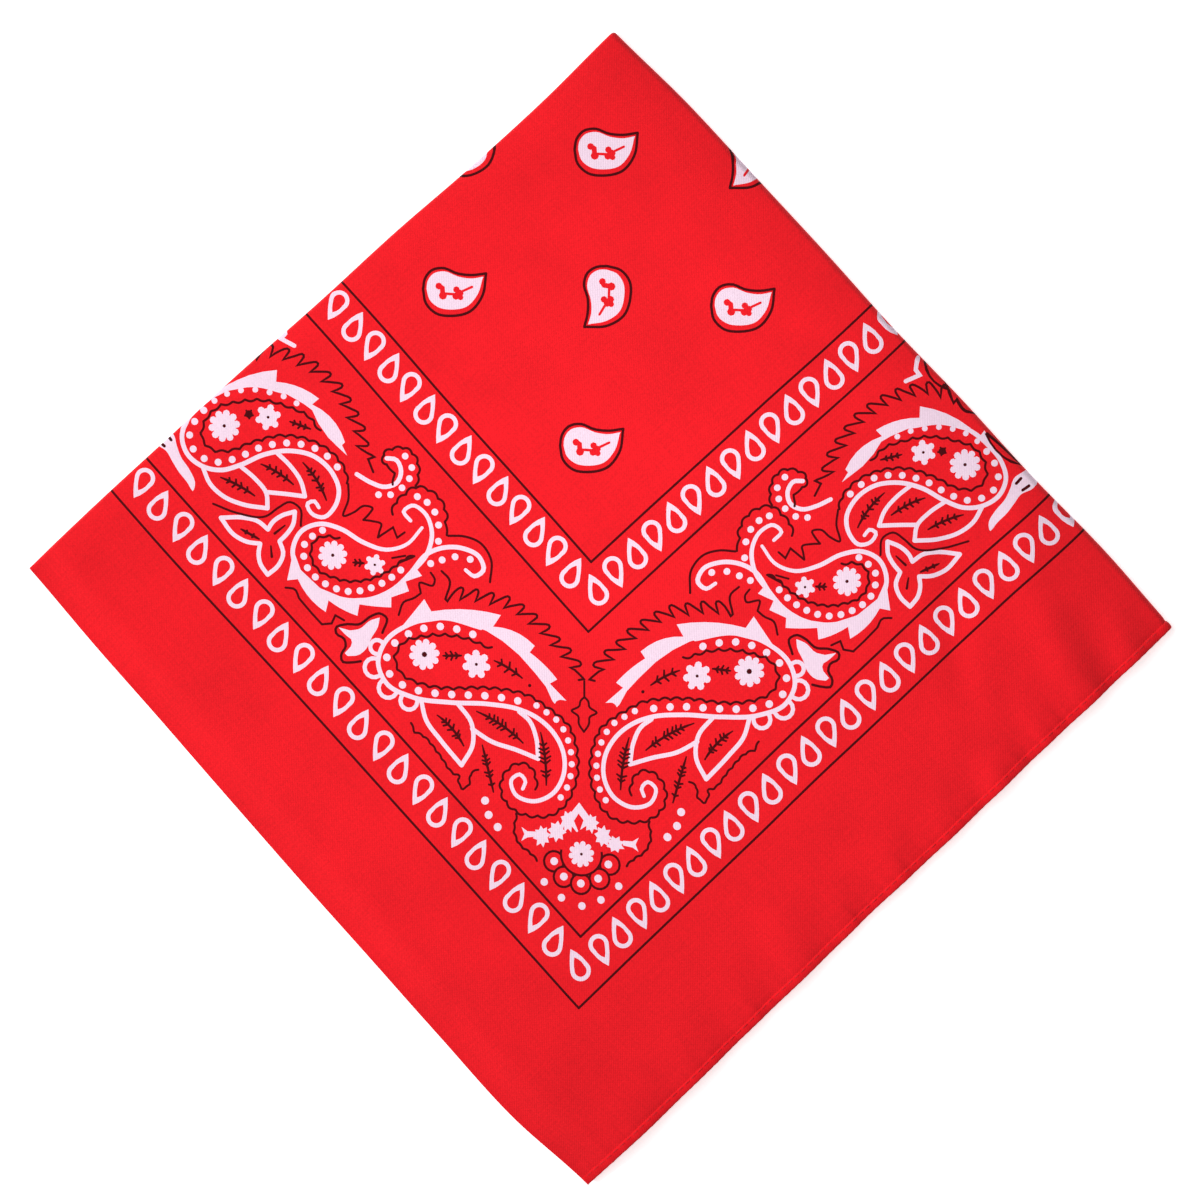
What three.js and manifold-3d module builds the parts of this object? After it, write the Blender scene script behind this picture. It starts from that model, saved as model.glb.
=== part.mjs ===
// A printed cotton bandana, folded in quarters and laid flat. Millimetres, +Z up.
// The middle of the whole square is the corner at +X +Y. The first fold lies along +Y and
// the second, round it, along +X. The selvedges lie along -X and the rolled hems along -Y.
import * as THREE from "three";
import Module from "manifold-3d";

// The cloth
const CUT_SIDE = 550;
const FOLDED_SIDE = CUT_SIDE / 2;
const HALF_SIDE = FOLDED_SIDE / 2;
const WALL = 1;
const GAP = 0.3;

// The folds, as radii to the middle of the wall
const FIRST_RADIUS = (WALL + GAP) / 2;
const SECOND_RADIUS = WALL + GAP;
const INNER_REACH = SECOND_RADIUS - FIRST_RADIUS + WALL / 2;
const OUTER_REACH = SECOND_RADIUS + FIRST_RADIUS + WALL / 2;
const MIDDLE_Z = OUTER_REACH;
const SECOND_AXIS_X = HALF_SIDE - OUTER_REACH;
const FIRST_AXIS_Y = HALF_SIDE - FIRST_RADIUS - WALL / 2;

// The hems and the open edges
const HEM_WIDTH = 3;
const HEM_ROUND = 0.3;
const HEM_RAISE = 0.4;
const INNER_TUCK = 1.6;
const BOTTOM_TUCK = 1;
const GROOVE_DEPTH = 7;

// The top layer's soft rise from its sides, and how wide the rise is at each
const RISE = 1.7;
const RISE_WIDTH = { firstFold: 11, secondFold: 16, selvedge: 34, hem: 44 };

// The plan: how far each corner lies from a true square's
const CORNERS = {
  middle: { x: -1.8, y: -0.4 },
  firstFoldEnd: { x: 4.1, y: 3.1 },
  tip: { x: -1.4, y: -4 },
  secondFoldEnd: { x: -2.7, y: -2.1 },
};

// The plan: how far each side swells outwards, at even steps from the corner that comes
// first going anticlockwise
const SWELL = [
  { firstFold: 0, selvedge: 0, hem: 0, secondFold: 0 },
  { firstFold: -1.3, selvedge: 1.1, hem: 0.3, secondFold: 1.1 },
  { firstFold: -1.2, selvedge: 1.6, hem: -0.1, secondFold: 0.4 },
  { firstFold: -0.2, selvedge: 2.3, hem: -0.3, secondFold: 0.8 },
  { firstFold: -0.2, selvedge: 2.9, hem: -0.5, secondFold: 0.4 },
  { firstFold: 0.4, selvedge: 3.2, hem: -0.1, secondFold: 1.1 },
  { firstFold: 0.5, selvedge: 3.5, hem: -0.3, secondFold: 1.3 },
  { firstFold: 0.5, selvedge: 3.5, hem: -0.1, secondFold: 1.5 },
  { firstFold: 0, selvedge: 0, hem: 0, secondFold: 0 },
];

// Waves that the hem gathers into the top layer: place along X, half width, height and
// how far they run in from the hem
const HEM_WAVES = [
  { at: -112, width: 11, height: 0.6, reach: 22 },
  { at: -82, width: 10, height: 0.9, reach: 30 },
  { at: -58, width: 8, height: 0.5, reach: 18 },
  { at: -34, width: 9, height: 0.9, reach: 34 },
  { at: -12, width: 7, height: 0.5, reach: 20 },
  { at: 12, width: 9, height: 0.8, reach: 28 },
  { at: 34, width: 8, height: 0.6, reach: 22 },
  { at: 58, width: 9, height: 1.1, reach: 40 },
  { at: 80, width: 8, height: 0.7, reach: 30 },
  { at: 99, width: 8, height: 1.3, reach: 46 },
  { at: 120, width: 7, height: 0.9, reach: 26 },
];
const WAVE_LEAN = 0.25;
const WAVE_SETTLE = 12;

// Where the surfaces are sampled: close distances in from a side, and how many even
// steps lie between, across from the selvedge and along from the hem
const NEAR = {
  selvedge: [0, 4, 10],
  hem: [0, 3, 8, 14, 22, 32],
  innerHem: [0, 10, 24, 40],
  firstFold: [0, 2, 6, 11],
  secondFold: [0, 2, 6, 12],
};
const EVEN_STEPS = { across: 30, along: 10, innerAlong: 6 };
const ROLL_STEPS = { firstFold: 5, outer: 6, inner: 5 };
const GROOVE_STEPS = 12;
const GROOVE_PAST = 2;

const RED = { color: 0xf2212b, roughness: 0.9, metalness: 0 };
const HEM_RED = { color: 0xe01c26, roughness: 0.92, metalness: 0 };

const clamp = (value) => Math.min(1, Math.max(0, value));

// One side's swell at a share of its length, on a smooth curve through the table
function swell(side, share) {
  const place = clamp(share) * (SWELL.length - 1);
  const row = Math.min(SWELL.length - 2, Math.floor(place));
  const t = place - row;
  const value = (i) => SWELL[Math.min(SWELL.length - 1, Math.max(0, i))][side];
  const [a, b, c, d] = [-1, 0, 1, 2].map((step) => value(row + step));
  return b + (t / 2) * (c - a + t * (2 * a - 5 * b + 4 * c - d + t * (3 * (b - c) + d - a)));
}

// From the true square's plan to the cloth's own
function toPlan(x, y) {
  const right = (x + HALF_SIDE) / FOLDED_SIDE;
  const back = (y + HALF_SIDE) / FOLDED_SIDE;
  const corner = (key) =>
    CORNERS.middle[key] * right * back +
    CORNERS.firstFoldEnd[key] * (1 - right) * back +
    CORNERS.tip[key] * (1 - right) * (1 - back) +
    CORNERS.secondFoldEnd[key] * right * (1 - back);
  const swellX = swell("secondFold", back) * right - swell("selvedge", 1 - back) * (1 - right);
  const swellY = swell("firstFold", 1 - right) * back - swell("hem", right) * (1 - back);
  return { x: x + corner("x") + swellX, y: y + corner("y") + swellY };
}

const easedRise = (distance, width) => 1 - (1 - clamp(distance / width)) ** 2;

// The rise of the whole stack
function stackRise(x, y) {
  return (
    RISE *
    easedRise(FIRST_AXIS_Y - y, RISE_WIDTH.firstFold) *
    easedRise(SECOND_AXIS_X - x, RISE_WIDTH.secondFold) *
    easedRise(x + HALF_SIDE, RISE_WIDTH.selvedge) *
    easedRise(y + HALF_SIDE, RISE_WIDTH.hem)
  );
}

// The waves of the top layer alone
function hemWaves(x, y) {
  const inward = Math.max(0, y + HALF_SIDE);
  const settled = easedRise(SECOND_AXIS_X - x, WAVE_SETTLE) * easedRise(x + HALF_SIDE, WAVE_SETTLE);
  const heights = HEM_WAVES.map((wave) => {
    const across = (x - wave.at - WAVE_LEAN * inward) / wave.width;
    const along = clamp(1 - inward / wave.reach);
    return wave.height * Math.exp(-across * across) * along * along * (3 - 2 * along);
  });
  return settled * heights.reduce((sum, height) => sum + height, 0);
}

// Stations from one end to the other: close together at both ends, even between
function stations(from, to, nearFrom, nearTo, evenCount) {
  const start = from + nearFrom.at(-1);
  const end = to - nearTo.at(-1);
  const step = (end - start) / evenCount;
  const even = Array.from({ length: evenCount - 1 }, (_, i) => start + step * (i + 1));
  return [...nearFrom.map((d) => from + d), ...even, ...nearTo.map((d) => to - d).reverse()];
}

// Stations on a way that runs out flat, rolls round a fold and may run back flat
function foldedWay(outward, rollSteps, backward) {
  const roll = Array.from({ length: rollSteps - 1 }, (_, i) => ({
    place: outward.at(-1),
    turn: (Math.PI * (i + 1)) / rollSteps,
  }));
  return [
    ...outward.map((place) => ({ place, turn: 0 })),
    ...roll,
    ...backward.map((place) => ({ place, turn: Math.PI })),
  ];
}

// A point of the outer layer: its station on the way round each fold, and how far it lies
// out from the middle of the wall
function clothPoint(across, along, out) {
  const fromFirst = FIRST_RADIUS + out;
  const y = along.place + fromFirst * Math.sin(along.turn);
  return packetPoint(across, y, SECOND_RADIUS + fromFirst * Math.cos(along.turn), true);
}

// A point at a height from the second fold's axis. Only the top layer lifts with the waves.
function packetPoint(across, y, fromSecond, waves) {
  const x = across.place + fromSecond * Math.sin(across.turn);
  const lift = across.turn > 0 ? 0 : stackRise(x, y) + (waves ? hemWaves(x, y) : 0);
  const plan = toPlan(x, y);
  return [plan.x, plan.y, MIDDLE_Z + fromSecond * Math.cos(across.turn) + lift];
}

// One closed body through rings of equal length. Each end is closed by a ladder between
// the two halves of its ring.
function loft(rings) {
  const count = rings[0].length;
  const faces = [];
  const quad = (a, b, c, d) => faces.push(a, b, c, a, c, d);
  for (let ring = 0; ring < rings.length - 1; ring++)
    for (let k = 0; k < count; k++) {
      const next = (k + 1) % count;
      const [here, there] = [ring * count, (ring + 1) * count];
      quad(here + k, here + next, there + next, there + k);
    }
  const last = (rings.length - 1) * count;
  for (let k = 0; k < count / 2 - 1; k++) {
    const [far, farNext] = [count - 1 - k, count - 2 - k];
    quad(k, far, farNext, k + 1);
    quad(last + k, last + k + 1, last + farNext, last + far);
  }
  const geometry = new THREE.BufferGeometry();
  geometry.setAttribute("position", new THREE.Float32BufferAttribute(rings.flat(2), 3));
  geometry.setIndex(faces);
  return facingOut(geometry);
}

// Turns the faces round if they face in
function facingOut(geometry) {
  const { array } = geometry.index;
  const corner = (i) => new THREE.Vector3().fromBufferAttribute(geometry.attributes.position, array[i]);
  let volume = 0;
  for (let i = 0; i < array.length; i += 3)
    volume += corner(i).dot(corner(i + 1).cross(corner(i + 2)));
  if (volume < 0)
    for (let i = 0; i < array.length; i += 3) [array[i], array[i + 1]] = [array[i + 1], array[i]];
  return geometry;
}

// The ways round the second fold. All layers share their stations, so that the gaps
// between them stay even where a side curves.
const TOP_X = stations(-HALF_SIDE, SECOND_AXIS_X, NEAR.selvedge, NEAR.secondFold, EVEN_STEPS.across);
const INNER_X = [-HALF_SIDE + INNER_TUCK, ...TOP_X.slice(1)];
const BOTTOM_X = [-HALF_SIDE + BOTTOM_TUCK, ...TOP_X.slice(1).filter((_, i) => i % 2)];
const OUTER_WAY = foldedWay(TOP_X, ROLL_STEPS.outer, [...BOTTOM_X].reverse());
const INNER_WAY = foldedWay(INNER_X, ROLL_STEPS.inner, [...INNER_X].reverse());

function outerLayer() {
  const front = -HALF_SIDE + HEM_WIDTH + GAP;
  const flat = stations(front, FIRST_AXIS_Y, NEAR.hem, NEAR.firstFold, EVEN_STEPS.along);
  const along = foldedWay(flat, ROLL_STEPS.firstFold, [FIRST_AXIS_Y]);
  const side = (row, out) => OUTER_WAY.map((column) => clothPoint(column, row, out));
  return loft(along.map((row) => [...side(row, WALL / 2), ...side(row, -WALL / 2).reverse()]));
}

// A thin plate, level with the middle of the stack, from one inner edge to another
function groovePlate(fromX, toX, fromY, toY) {
  const alongX = toX - fromX > toY - fromY;
  const place = (from, to, i) => from + ((to - from) * i) / GROOVE_STEPS;
  const corner = (x, y, up) => {
    const plan = toPlan(x, y);
    return [plan.x, plan.y, MIDDLE_Z + (up * GAP) / 2];
  };
  const section = (_, i) => {
    const [a, b] = alongX
      ? [[place(fromX, toX, i), fromY], [place(fromX, toX, i), toY]]
      : [[fromX, place(fromY, toY, i)], [toX, place(fromY, toY, i)]];
    return [corner(...a, 1), corner(...b, 1), corner(...b, -1), corner(...a, -1)];
  };
  return loft(Array.from({ length: GROOVE_STEPS + 1 }, section));
}

function innerLayers(solids) {
  const left = -HALF_SIDE + INNER_TUCK;
  const front = left + HEM_WIDTH + GAP;
  const back = FIRST_AXIS_Y - GAP;
  const rows = stations(front, back, NEAR.innerHem, NEAR.firstFold, EVEN_STEPS.innerAlong);
  const section = (y) => INNER_WAY.map((column) => packetPoint(column, y, INNER_REACH, false));
  const slab = loft(rows.map(section));
  const [outLeft, outFront, outBack] = [left - GROOVE_PAST, front - GROOVE_PAST, back + GROOVE_PAST];
  const grooves = [
    groovePlate(outLeft, left + GROOVE_DEPTH, outFront, outBack),
    groovePlate(outLeft, SECOND_AXIS_X, outFront, front + GROOVE_DEPTH),
    groovePlate(outLeft, SECOND_AXIS_X, back - GROOVE_DEPTH, outBack),
  ];
  return solids.cut(slab, grooves);
}

// A rolled hem round the second fold. The section's points are in order round it, each
// with its place across the hem's width and its height out from the middle of the wall.
function hem(way, front, radiusShift, raise, waves) {
  const low = HEM_ROUND;
  const high = HEM_WIDTH - HEM_ROUND;
  const edge = WALL / 2 - HEM_ROUND;
  const section = [[0, edge], [low, WALL / 2], [high, WALL / 2], [HEM_WIDTH, edge]];
  const ring = [...section, ...section.map(([y, out]) => [y, -out]).reverse()];
  return loft(
    way.map((column) =>
      ring.map(([y, out]) => {
        const raised = out > 0 ? raise * (1 + Math.cos(column.turn)) / 2 : 0;
        return packetPoint(column, front + y, SECOND_RADIUS + radiusShift + out + raised, waves);
      }),
    ),
  );
}

// Cutting with manifold-3d, from and to three.js geometry
async function solidTools() {
  const wasm = await Module();
  wasm.setup();
  const toSolid = (geometry) =>
    new wasm.Manifold(
      new wasm.Mesh({
        numProp: 3,
        vertProperties: geometry.attributes.position.array,
        triVerts: new Uint32Array(geometry.index.array),
      }),
    );
  const cut = (body, cutters) => {
    const left = cutters.reduce((solid, cutter) => solid.subtract(toSolid(cutter)), toSolid(body));
    const mesh = left.getMesh();
    const geometry = new THREE.BufferGeometry();
    geometry.setAttribute("position", new THREE.Float32BufferAttribute(mesh.vertProperties, 3));
    geometry.setIndex([...mesh.triVerts]);
    return geometry;
  };
  return { cut };
}

const solids = await solidTools();
const hemOuter = hem(OUTER_WAY, -HALF_SIDE, FIRST_RADIUS, HEM_RAISE, true);
const hemInner = hem(INNER_WAY, -HALF_SIDE + INNER_TUCK, -FIRST_RADIUS, 0, false);
const pieces = [
  { name: "outer_layer", geometry: outerLayer(), finish: RED },
  { name: "inner_layers", geometry: innerLayers(solids), finish: RED },
  { name: "hem_outer", geometry: hemOuter, finish: HEM_RED },
  { name: "hem_inner", geometry: hemInner, finish: HEM_RED },
];

const bandana = new THREE.Group();
bandana.name = "folded_bandana";
for (const { name, geometry, finish } of pieces) {
  geometry.computeVertexNormals();
  const mesh = new THREE.Mesh(geometry, new THREE.MeshStandardMaterial({ ...finish, flatShading: true }));
  mesh.name = name;
  bandana.add(mesh);
}

// The origin goes to the middle of the plan, on the surface that the bandana lies on
const middle = new THREE.Box3().setFromObject(bandana).getCenter(new THREE.Vector3());
for (const mesh of bandana.children) mesh.geometry.translate(-middle.x, -middle.y, 0);

export default bandana;
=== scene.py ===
"""A printed cotton bandana, folded in quarters and lying flat, seen from straight above."""

import math

import bpy
import numpy as np
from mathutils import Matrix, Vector
from mathutils.geometry import delaunay_2d_cdt


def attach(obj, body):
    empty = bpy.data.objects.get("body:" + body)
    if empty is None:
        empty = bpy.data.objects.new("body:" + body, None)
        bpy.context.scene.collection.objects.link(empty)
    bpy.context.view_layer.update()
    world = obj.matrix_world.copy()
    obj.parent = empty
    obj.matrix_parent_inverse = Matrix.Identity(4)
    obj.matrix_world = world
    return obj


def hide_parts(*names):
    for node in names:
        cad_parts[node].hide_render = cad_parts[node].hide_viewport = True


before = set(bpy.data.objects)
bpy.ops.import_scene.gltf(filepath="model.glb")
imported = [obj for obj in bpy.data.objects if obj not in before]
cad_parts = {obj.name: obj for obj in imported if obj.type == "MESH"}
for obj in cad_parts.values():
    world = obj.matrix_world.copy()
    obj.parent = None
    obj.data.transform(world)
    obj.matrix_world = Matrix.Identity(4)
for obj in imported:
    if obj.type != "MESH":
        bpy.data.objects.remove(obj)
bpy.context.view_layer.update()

# Sizes are in millimetres, and become metres when a mesh is made
MM = 0.001

# The folded packet, as the solids have it
HALF_SIDE = 137.5
FOLDED_SIDE = 2 * HALF_SIDE
FIRST_RADIUS = 0.65
SECOND_RADIUS = 1.3
FIRST_REACH = 1.15
OUTER_REACH = 2.45
MIDDLE_Z = OUTER_REACH
HEM_WIDTH = 3
INNER_TUCK = 1.6
BOTTOM_TUCK = 1

# How far each corner of the plan lies from a true square's
CORNERS = {
    "middle": (-1.8, -0.4),
    "first_fold_end": (4.1, 3.1),
    "tip": (-1.4, -4),
    "second_fold_end": (-2.7, -2.1),
}

# How far each side swells outwards, at even steps
SWELL = {
    "first_fold": (0, -1.3, -1.2, -0.2, -0.2, 0.4, 0.5, 0.5, 0),
    "selvedge": (0, 1.1, 1.6, 2.3, 2.9, 3.2, 3.5, 3.5, 0),
    "hem": (0, 0.3, -0.1, -0.3, -0.5, -0.1, -0.3, -0.1, 0),
    "second_fold": (0, 1.1, 0.4, 0.8, 0.4, 1.1, 1.3, 1.5, 0),
}

# The top layer's rise from its sides, and its width at each, measured from the crest
RISE = 1.7
RISE_WIDTH = {"first_fold": 12.2, "second_fold": 18.5, "selvedge": 34, "hem": 44}

# Waves that the hem gathers: place along X, half width, height, reach inwards
HEM_WAVES = (
    (-112, 11, 0.6, 22),
    (-82, 10, 0.9, 30),
    (-58, 8, 0.5, 18),
    (-34, 9, 0.9, 34),
    (-12, 7, 0.5, 20),
    (12, 9, 0.8, 28),
    (34, 8, 0.6, 22),
    (58, 9, 1.1, 40),
    (80, 8, 0.7, 30),
    (99, 8, 1.3, 46),
    (120, 7, 0.9, 26),
)
WAVE_LEAN = 0.25
WAVE_SETTLE = 12
# The thin cloth stands this much higher in its waves than the solids' thick wall
WAVE_GAIN = 2
# Short dents beside the hem, in the same columns
HEM_DENTS = (
    (-81, 4.5, -0.5, 17),
    (-51, 4.5, -0.6, 20),
    (-7, 4, -0.6, 16),
    (16, 4, -0.45, 14),
    (50, 4.5, -0.75, 20),
    (73, 4, -0.55, 15),
    (97, 4.5, -0.6, 18),
)

# The cloth's thickness, how far it turns in at the first fold and ends inside its hem, and
# how it settles at the selvedges
CLOTH = 0.45
TURN_IN = 2.6
IN_HEM = 1.2
EDGE_SHARE = 0.62
EDGE_SETTLE = 14
PUCKER = {"height": 0.16, "pitch": 6.4, "reach": 9}
INNER_REACH = {"edge": 1.0, "fold": 0.6}

# The rolled hems' half heights and their sewing, each thread's sections by place and size
HEM_HALF = {"outer": 0.66, "inner": 0.48, "below": 0.42}
STITCH = {
    "pitch": 3.05,
    "length": 2.3,
    "width": 0.42,
    "height": 0.3,
    "from_edge": 2.35,
    "sections": ((-0.5, 0.15), (-0.3, 0.85), (0, 1), (0.3, 0.85), (0.5, 0.15)),
}
# How deep the sewing pulls the hem in, and its place and half width as shares of the hem's
SEWN = {"depth": 0.05, "place": 0.66, "width": 0.16}

# Long soft creases of the top layer: start, end, half width and height, negative for a
# trough, in the plan of the true square
CREASES = (
    ((88, 60), (133, -40), 7, -0.5),
    ((60, -128), (104, -62), 6, -0.75),
    ((96, -134), (128, -70), 8, 0.6),
    ((-134, -60), (-98, -118), 8, -0.7),
    ((-120, 122), (-60, 128), 7, -0.4),
    ((20, -60), (-60, -92), 16, 0.35),
    ((-30, 60), (60, 30), 20, 0.3),
)
CREASE_SETTLE = 8

# The mesh's step on the face and on the plain back, and how near the drawing, in steps, a
# grid point is left out
GRID = 2.4
BACK_GRID = GRID * 1.6
CLEAR = 0.45

# Its stations on the two rolls, how near the seam a point counts as on it, and a distance
# from the second fold that is well on top
SECOND_ROLL = (0, 0.5, 1.0, 1.5, 2.0, OUTER_REACH)
FIRST_ROLL = (-TURN_IN, -1.8, -FIRST_REACH, -0.75, -0.35, 0, 0.35, 0.75, FIRST_REACH)
SEAM = 0.01
WELL_ON_TOP = 20

# The print's inks, its four lines as distances from both folds, and its lines' widths
RED, WHITE, DARK = range(3)
LINES = (127.5, 144, 217.5, 234)
WHITE_LINE = 1.55
LEAF_LINE = 1.45
DARK_LINE = 0.8
FINE_LINE = 0.75

# The inks' looks: name, colour, unevenness with the weave's painted shade, and sheen
PRINT_COLOURS = (
    ("red_cotton", (0.90, 0.009, 0.017), 0.2),
    ("white_print", (0.95, 0.72, 0.86), 0.08),
    ("dark_print", (0.07, 0.001, 0.003), 0.1, 0.03),
)

# The weave: width of a thread, share of each relief, its strength and its depth
THREAD = 0.42
WEAVE = {"bump": 0.5, "slub": 0.35, "strength": 0.6, "depth": 0.12}

# The cotton's noises: each one's scales along both threads, its own scale and its detail
SLUBS = ((0.06, 1, 1500, 2), (1, 0.06, 1500, 2))
CLOUDS = (1, 1, 38, 3)
GRAIN = (1, 1, 1100, 1)

# The photograph's view: straight down, turned so that its right is this way in the plan
PHOTO_RIGHT = (0.72777, -0.68582)
PHOTO_WIDTH = 405.95
LENS, SENSOR = 100, 36

# Each lamp's place in metres, right and up in the photograph and above the floor, its size
# and its power
LIGHTS = (("key", -2.6, 0, 1.8, 0.7, 74), ("top", 0, 0.04, 0.31, 0.25, 0.56))
WORLD_LIGHT = 0.14
FLOOR_REACH = 3
FLOOR_GLOW = 0.68

TAU = 2 * math.pi
ROOT_TWO = math.sqrt(2)


def smooth(t):
    """From 0 to 1, level at both ends."""
    t = np.clip(t, 0, 1)
    return t * t * (3 - 2 * t)


def swell(side, share):
    """How far a side swells at a share of its length, on a smooth curve through its table."""
    table = np.array(SWELL[side], float)
    last = len(table) - 1
    place = np.clip(share, 0, 1) * last
    row = np.minimum(last - 1, np.floor(place)).astype(int)
    t = place - row
    a, b, c, d = (table[np.clip(row + step, 0, last)] for step in (-1, 0, 1, 2))
    return b + (t / 2) * (c - a + t * (2 * a - 5 * b + 4 * c - d + t * (3 * (b - c) + d - a)))


def to_plan(x, y):
    """From the true square's plan to the cloth's own."""
    right, back = (x + HALF_SIDE) / FOLDED_SIDE, (y + HALF_SIDE) / FOLDED_SIDE
    shares = {
        "middle": right * back,
        "first_fold_end": (1 - right) * back,
        "tip": (1 - right) * (1 - back),
        "second_fold_end": right * (1 - back),
    }
    moved_x, moved_y = (sum(CORNERS[k][i] * share for k, share in shares.items()) for i in (0, 1))
    swell_x = swell("second_fold", back) * right - swell("selvedge", 1 - back) * (1 - right)
    swell_y = swell("first_fold", 1 - right) * back - swell("hem", right) * (1 - back)
    return x + moved_x + swell_x, y + moved_y + swell_y


def eased(distance, width):
    """From 0 at a side to 1 at a width from it."""
    return 1 - (1 - np.clip(distance / width, 0, 1)) ** 2


def stack_rise(x, y):
    """How far the top layer has risen from its sides."""
    return (
        RISE
        * eased(HALF_SIDE - y, RISE_WIDTH["first_fold"])
        * eased(HALF_SIDE - x, RISE_WIDTH["second_fold"])
        * eased(x + HALF_SIDE, RISE_WIDTH["selvedge"])
        * eased(y + HALF_SIDE, RISE_WIDTH["hem"])
    )


def hem_rows(x, y, rows):
    """Waves or dents that stand in a row along the hem and lean as they run in."""
    inward = np.maximum(0, y + HALF_SIDE)
    settled = eased(HALF_SIDE - x, WAVE_SETTLE) * eased(x + HALF_SIDE, WAVE_SETTLE)
    total = 0
    for at, width, height, reach in rows:
        across = (x - at - WAVE_LEAN * inward) / width
        total = total + height * np.exp(-across * across) * smooth(1 - inward / reach)
    return settled * total


def hem_waves(x, y):
    return WAVE_GAIN * hem_rows(x, y, HEM_WAVES) + hem_rows(x, y, HEM_DENTS)


def puckers(x, y):
    """Small gathers beside the hem, uneven in pitch and depth."""
    inward = np.maximum(0, y + HALF_SIDE - HEM_WIDTH)
    phase = TAU * x / PUCKER["pitch"] + 1.3 * np.sin(x / 17) + 0.9 * np.sin(x / 7.3 + 1)
    depth = 0.65 + 0.35 * np.sin(x / 11 + 0.5)
    settled = eased(HALF_SIDE - x, WAVE_SETTLE)
    fade = smooth(1 - inward / PUCKER["reach"])
    return settled * PUCKER["height"] * depth * np.sin(phase) * fade


def creases(x, y):
    """The long soft creases, each a slightly bowed ridge or trough."""
    total = 0
    for (x0, y0), (x1, y1), width, height in CREASES:
        length = math.hypot(x1 - x0, y1 - y0)
        ux, uy = (x1 - x0) / length, (y1 - y0) / length
        along = (x - x0) * ux + (y - y0) * uy
        across = (y - y0) * ux - (x - x0) * uy
        bow = across - 0.06 * length * np.sin(math.pi * np.clip(along / length, 0, 1))
        ends = smooth((along + width) / (2 * width)) * smooth((length + width - along) / (2 * width))
        total = total + height * ends * np.exp(-((bow / width) ** 2))
    return total


def edge_share(x, y):
    """The stack's height beside the selvedges, where it has settled, as a share."""
    uneven = 0.04 * np.sin(y / 21) + 0.03 * np.sin(y / 8.7 + 2)
    return 1 - (1 - EDGE_SHARE - uneven) * (1 - smooth((x + HALF_SIDE) / EDGE_SETTLE))


def lay(x, y, height, on_top, top_waves):
    """Points in the plan, at a height from the floor before the packet's rise and settling."""
    z = height + on_top * stack_rise(x, y) + top_waves * hem_waves(x, y)
    z = z + top_waves * (creases(x, y) + puckers(x, y)) * eased(HALF_SIDE - y, CREASE_SETTLE)
    plan = to_plan(x, y)
    return np.stack([plan[0], plan[1], z * edge_share(x, y)], axis=-1)


def outer_cloth(u, v, inset):
    """Points of the outer cloth. u runs across the second fold, from its crest, positive on
    top, v from the first fold's crest, and inset is how far a point lies in from the face."""
    u = np.where(u < 0, u * (FOLDED_SIDE - BOTTOM_TUCK) / FOLDED_SIDE, u)
    turn = (1 - np.clip(u / OUTER_REACH, -1, 1)) * math.pi / 2
    roll = (1 - np.clip(v / FIRST_REACH, -1, 1)) * math.pi / 2
    tucked = 0.3 * smooth((v - FOLDED_SIDE + HEM_WIDTH + 0.6) / 1.2)
    out = FIRST_REACH - inset - tucked
    y = HALF_SIDE - np.maximum(np.abs(v), FIRST_REACH) + out * np.sin(roll)
    from_second = SECOND_RADIUS + out * np.cos(roll)
    x = HALF_SIDE - np.maximum(np.abs(u), OUTER_REACH) + from_second * np.sin(turn)
    on_top = (turn < math.pi / 2) * 1.0
    top_waves = on_top * (roll < math.pi / 2) * (1 - np.sin(turn))
    return lay(x, y, MIDDLE_Z + from_second * np.cos(turn), on_top, top_waves)


def inner_cloth(u, v, inset):
    """Points of the hidden cloth, from the same directions."""
    near_fold = 1 - smooth((v - 6) / 30)
    reach = INNER_REACH["edge"] + (INNER_REACH["fold"] - INNER_REACH["edge"]) * near_fold
    reach = reach * (1 + 0.12 * np.sin(v / 19 + u / 90) * (1 - near_fold))
    turn = (1 - np.clip(u / INNER_REACH["edge"], -1, 1)) * math.pi / 2
    from_second = reach - inset
    crest = HALF_SIDE - OUTER_REACH + INNER_REACH["edge"]
    x = crest - np.maximum(np.abs(u), INNER_REACH["edge"]) + from_second * np.sin(turn)
    y = HALF_SIDE - v
    on_top = (turn < math.pi / 2) * 1.0
    return lay(x, y, MIDDLE_Z + from_second * np.cos(turn), on_top, 0 * on_top)


# The print's drawing. Places are (s, d): s to the left of the cloth's diagonal and d down
# it from the bandana's middle. A later ink covers an earlier one.

# A stroke is laid in stretches of this many steps
STRETCH = 8


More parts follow.
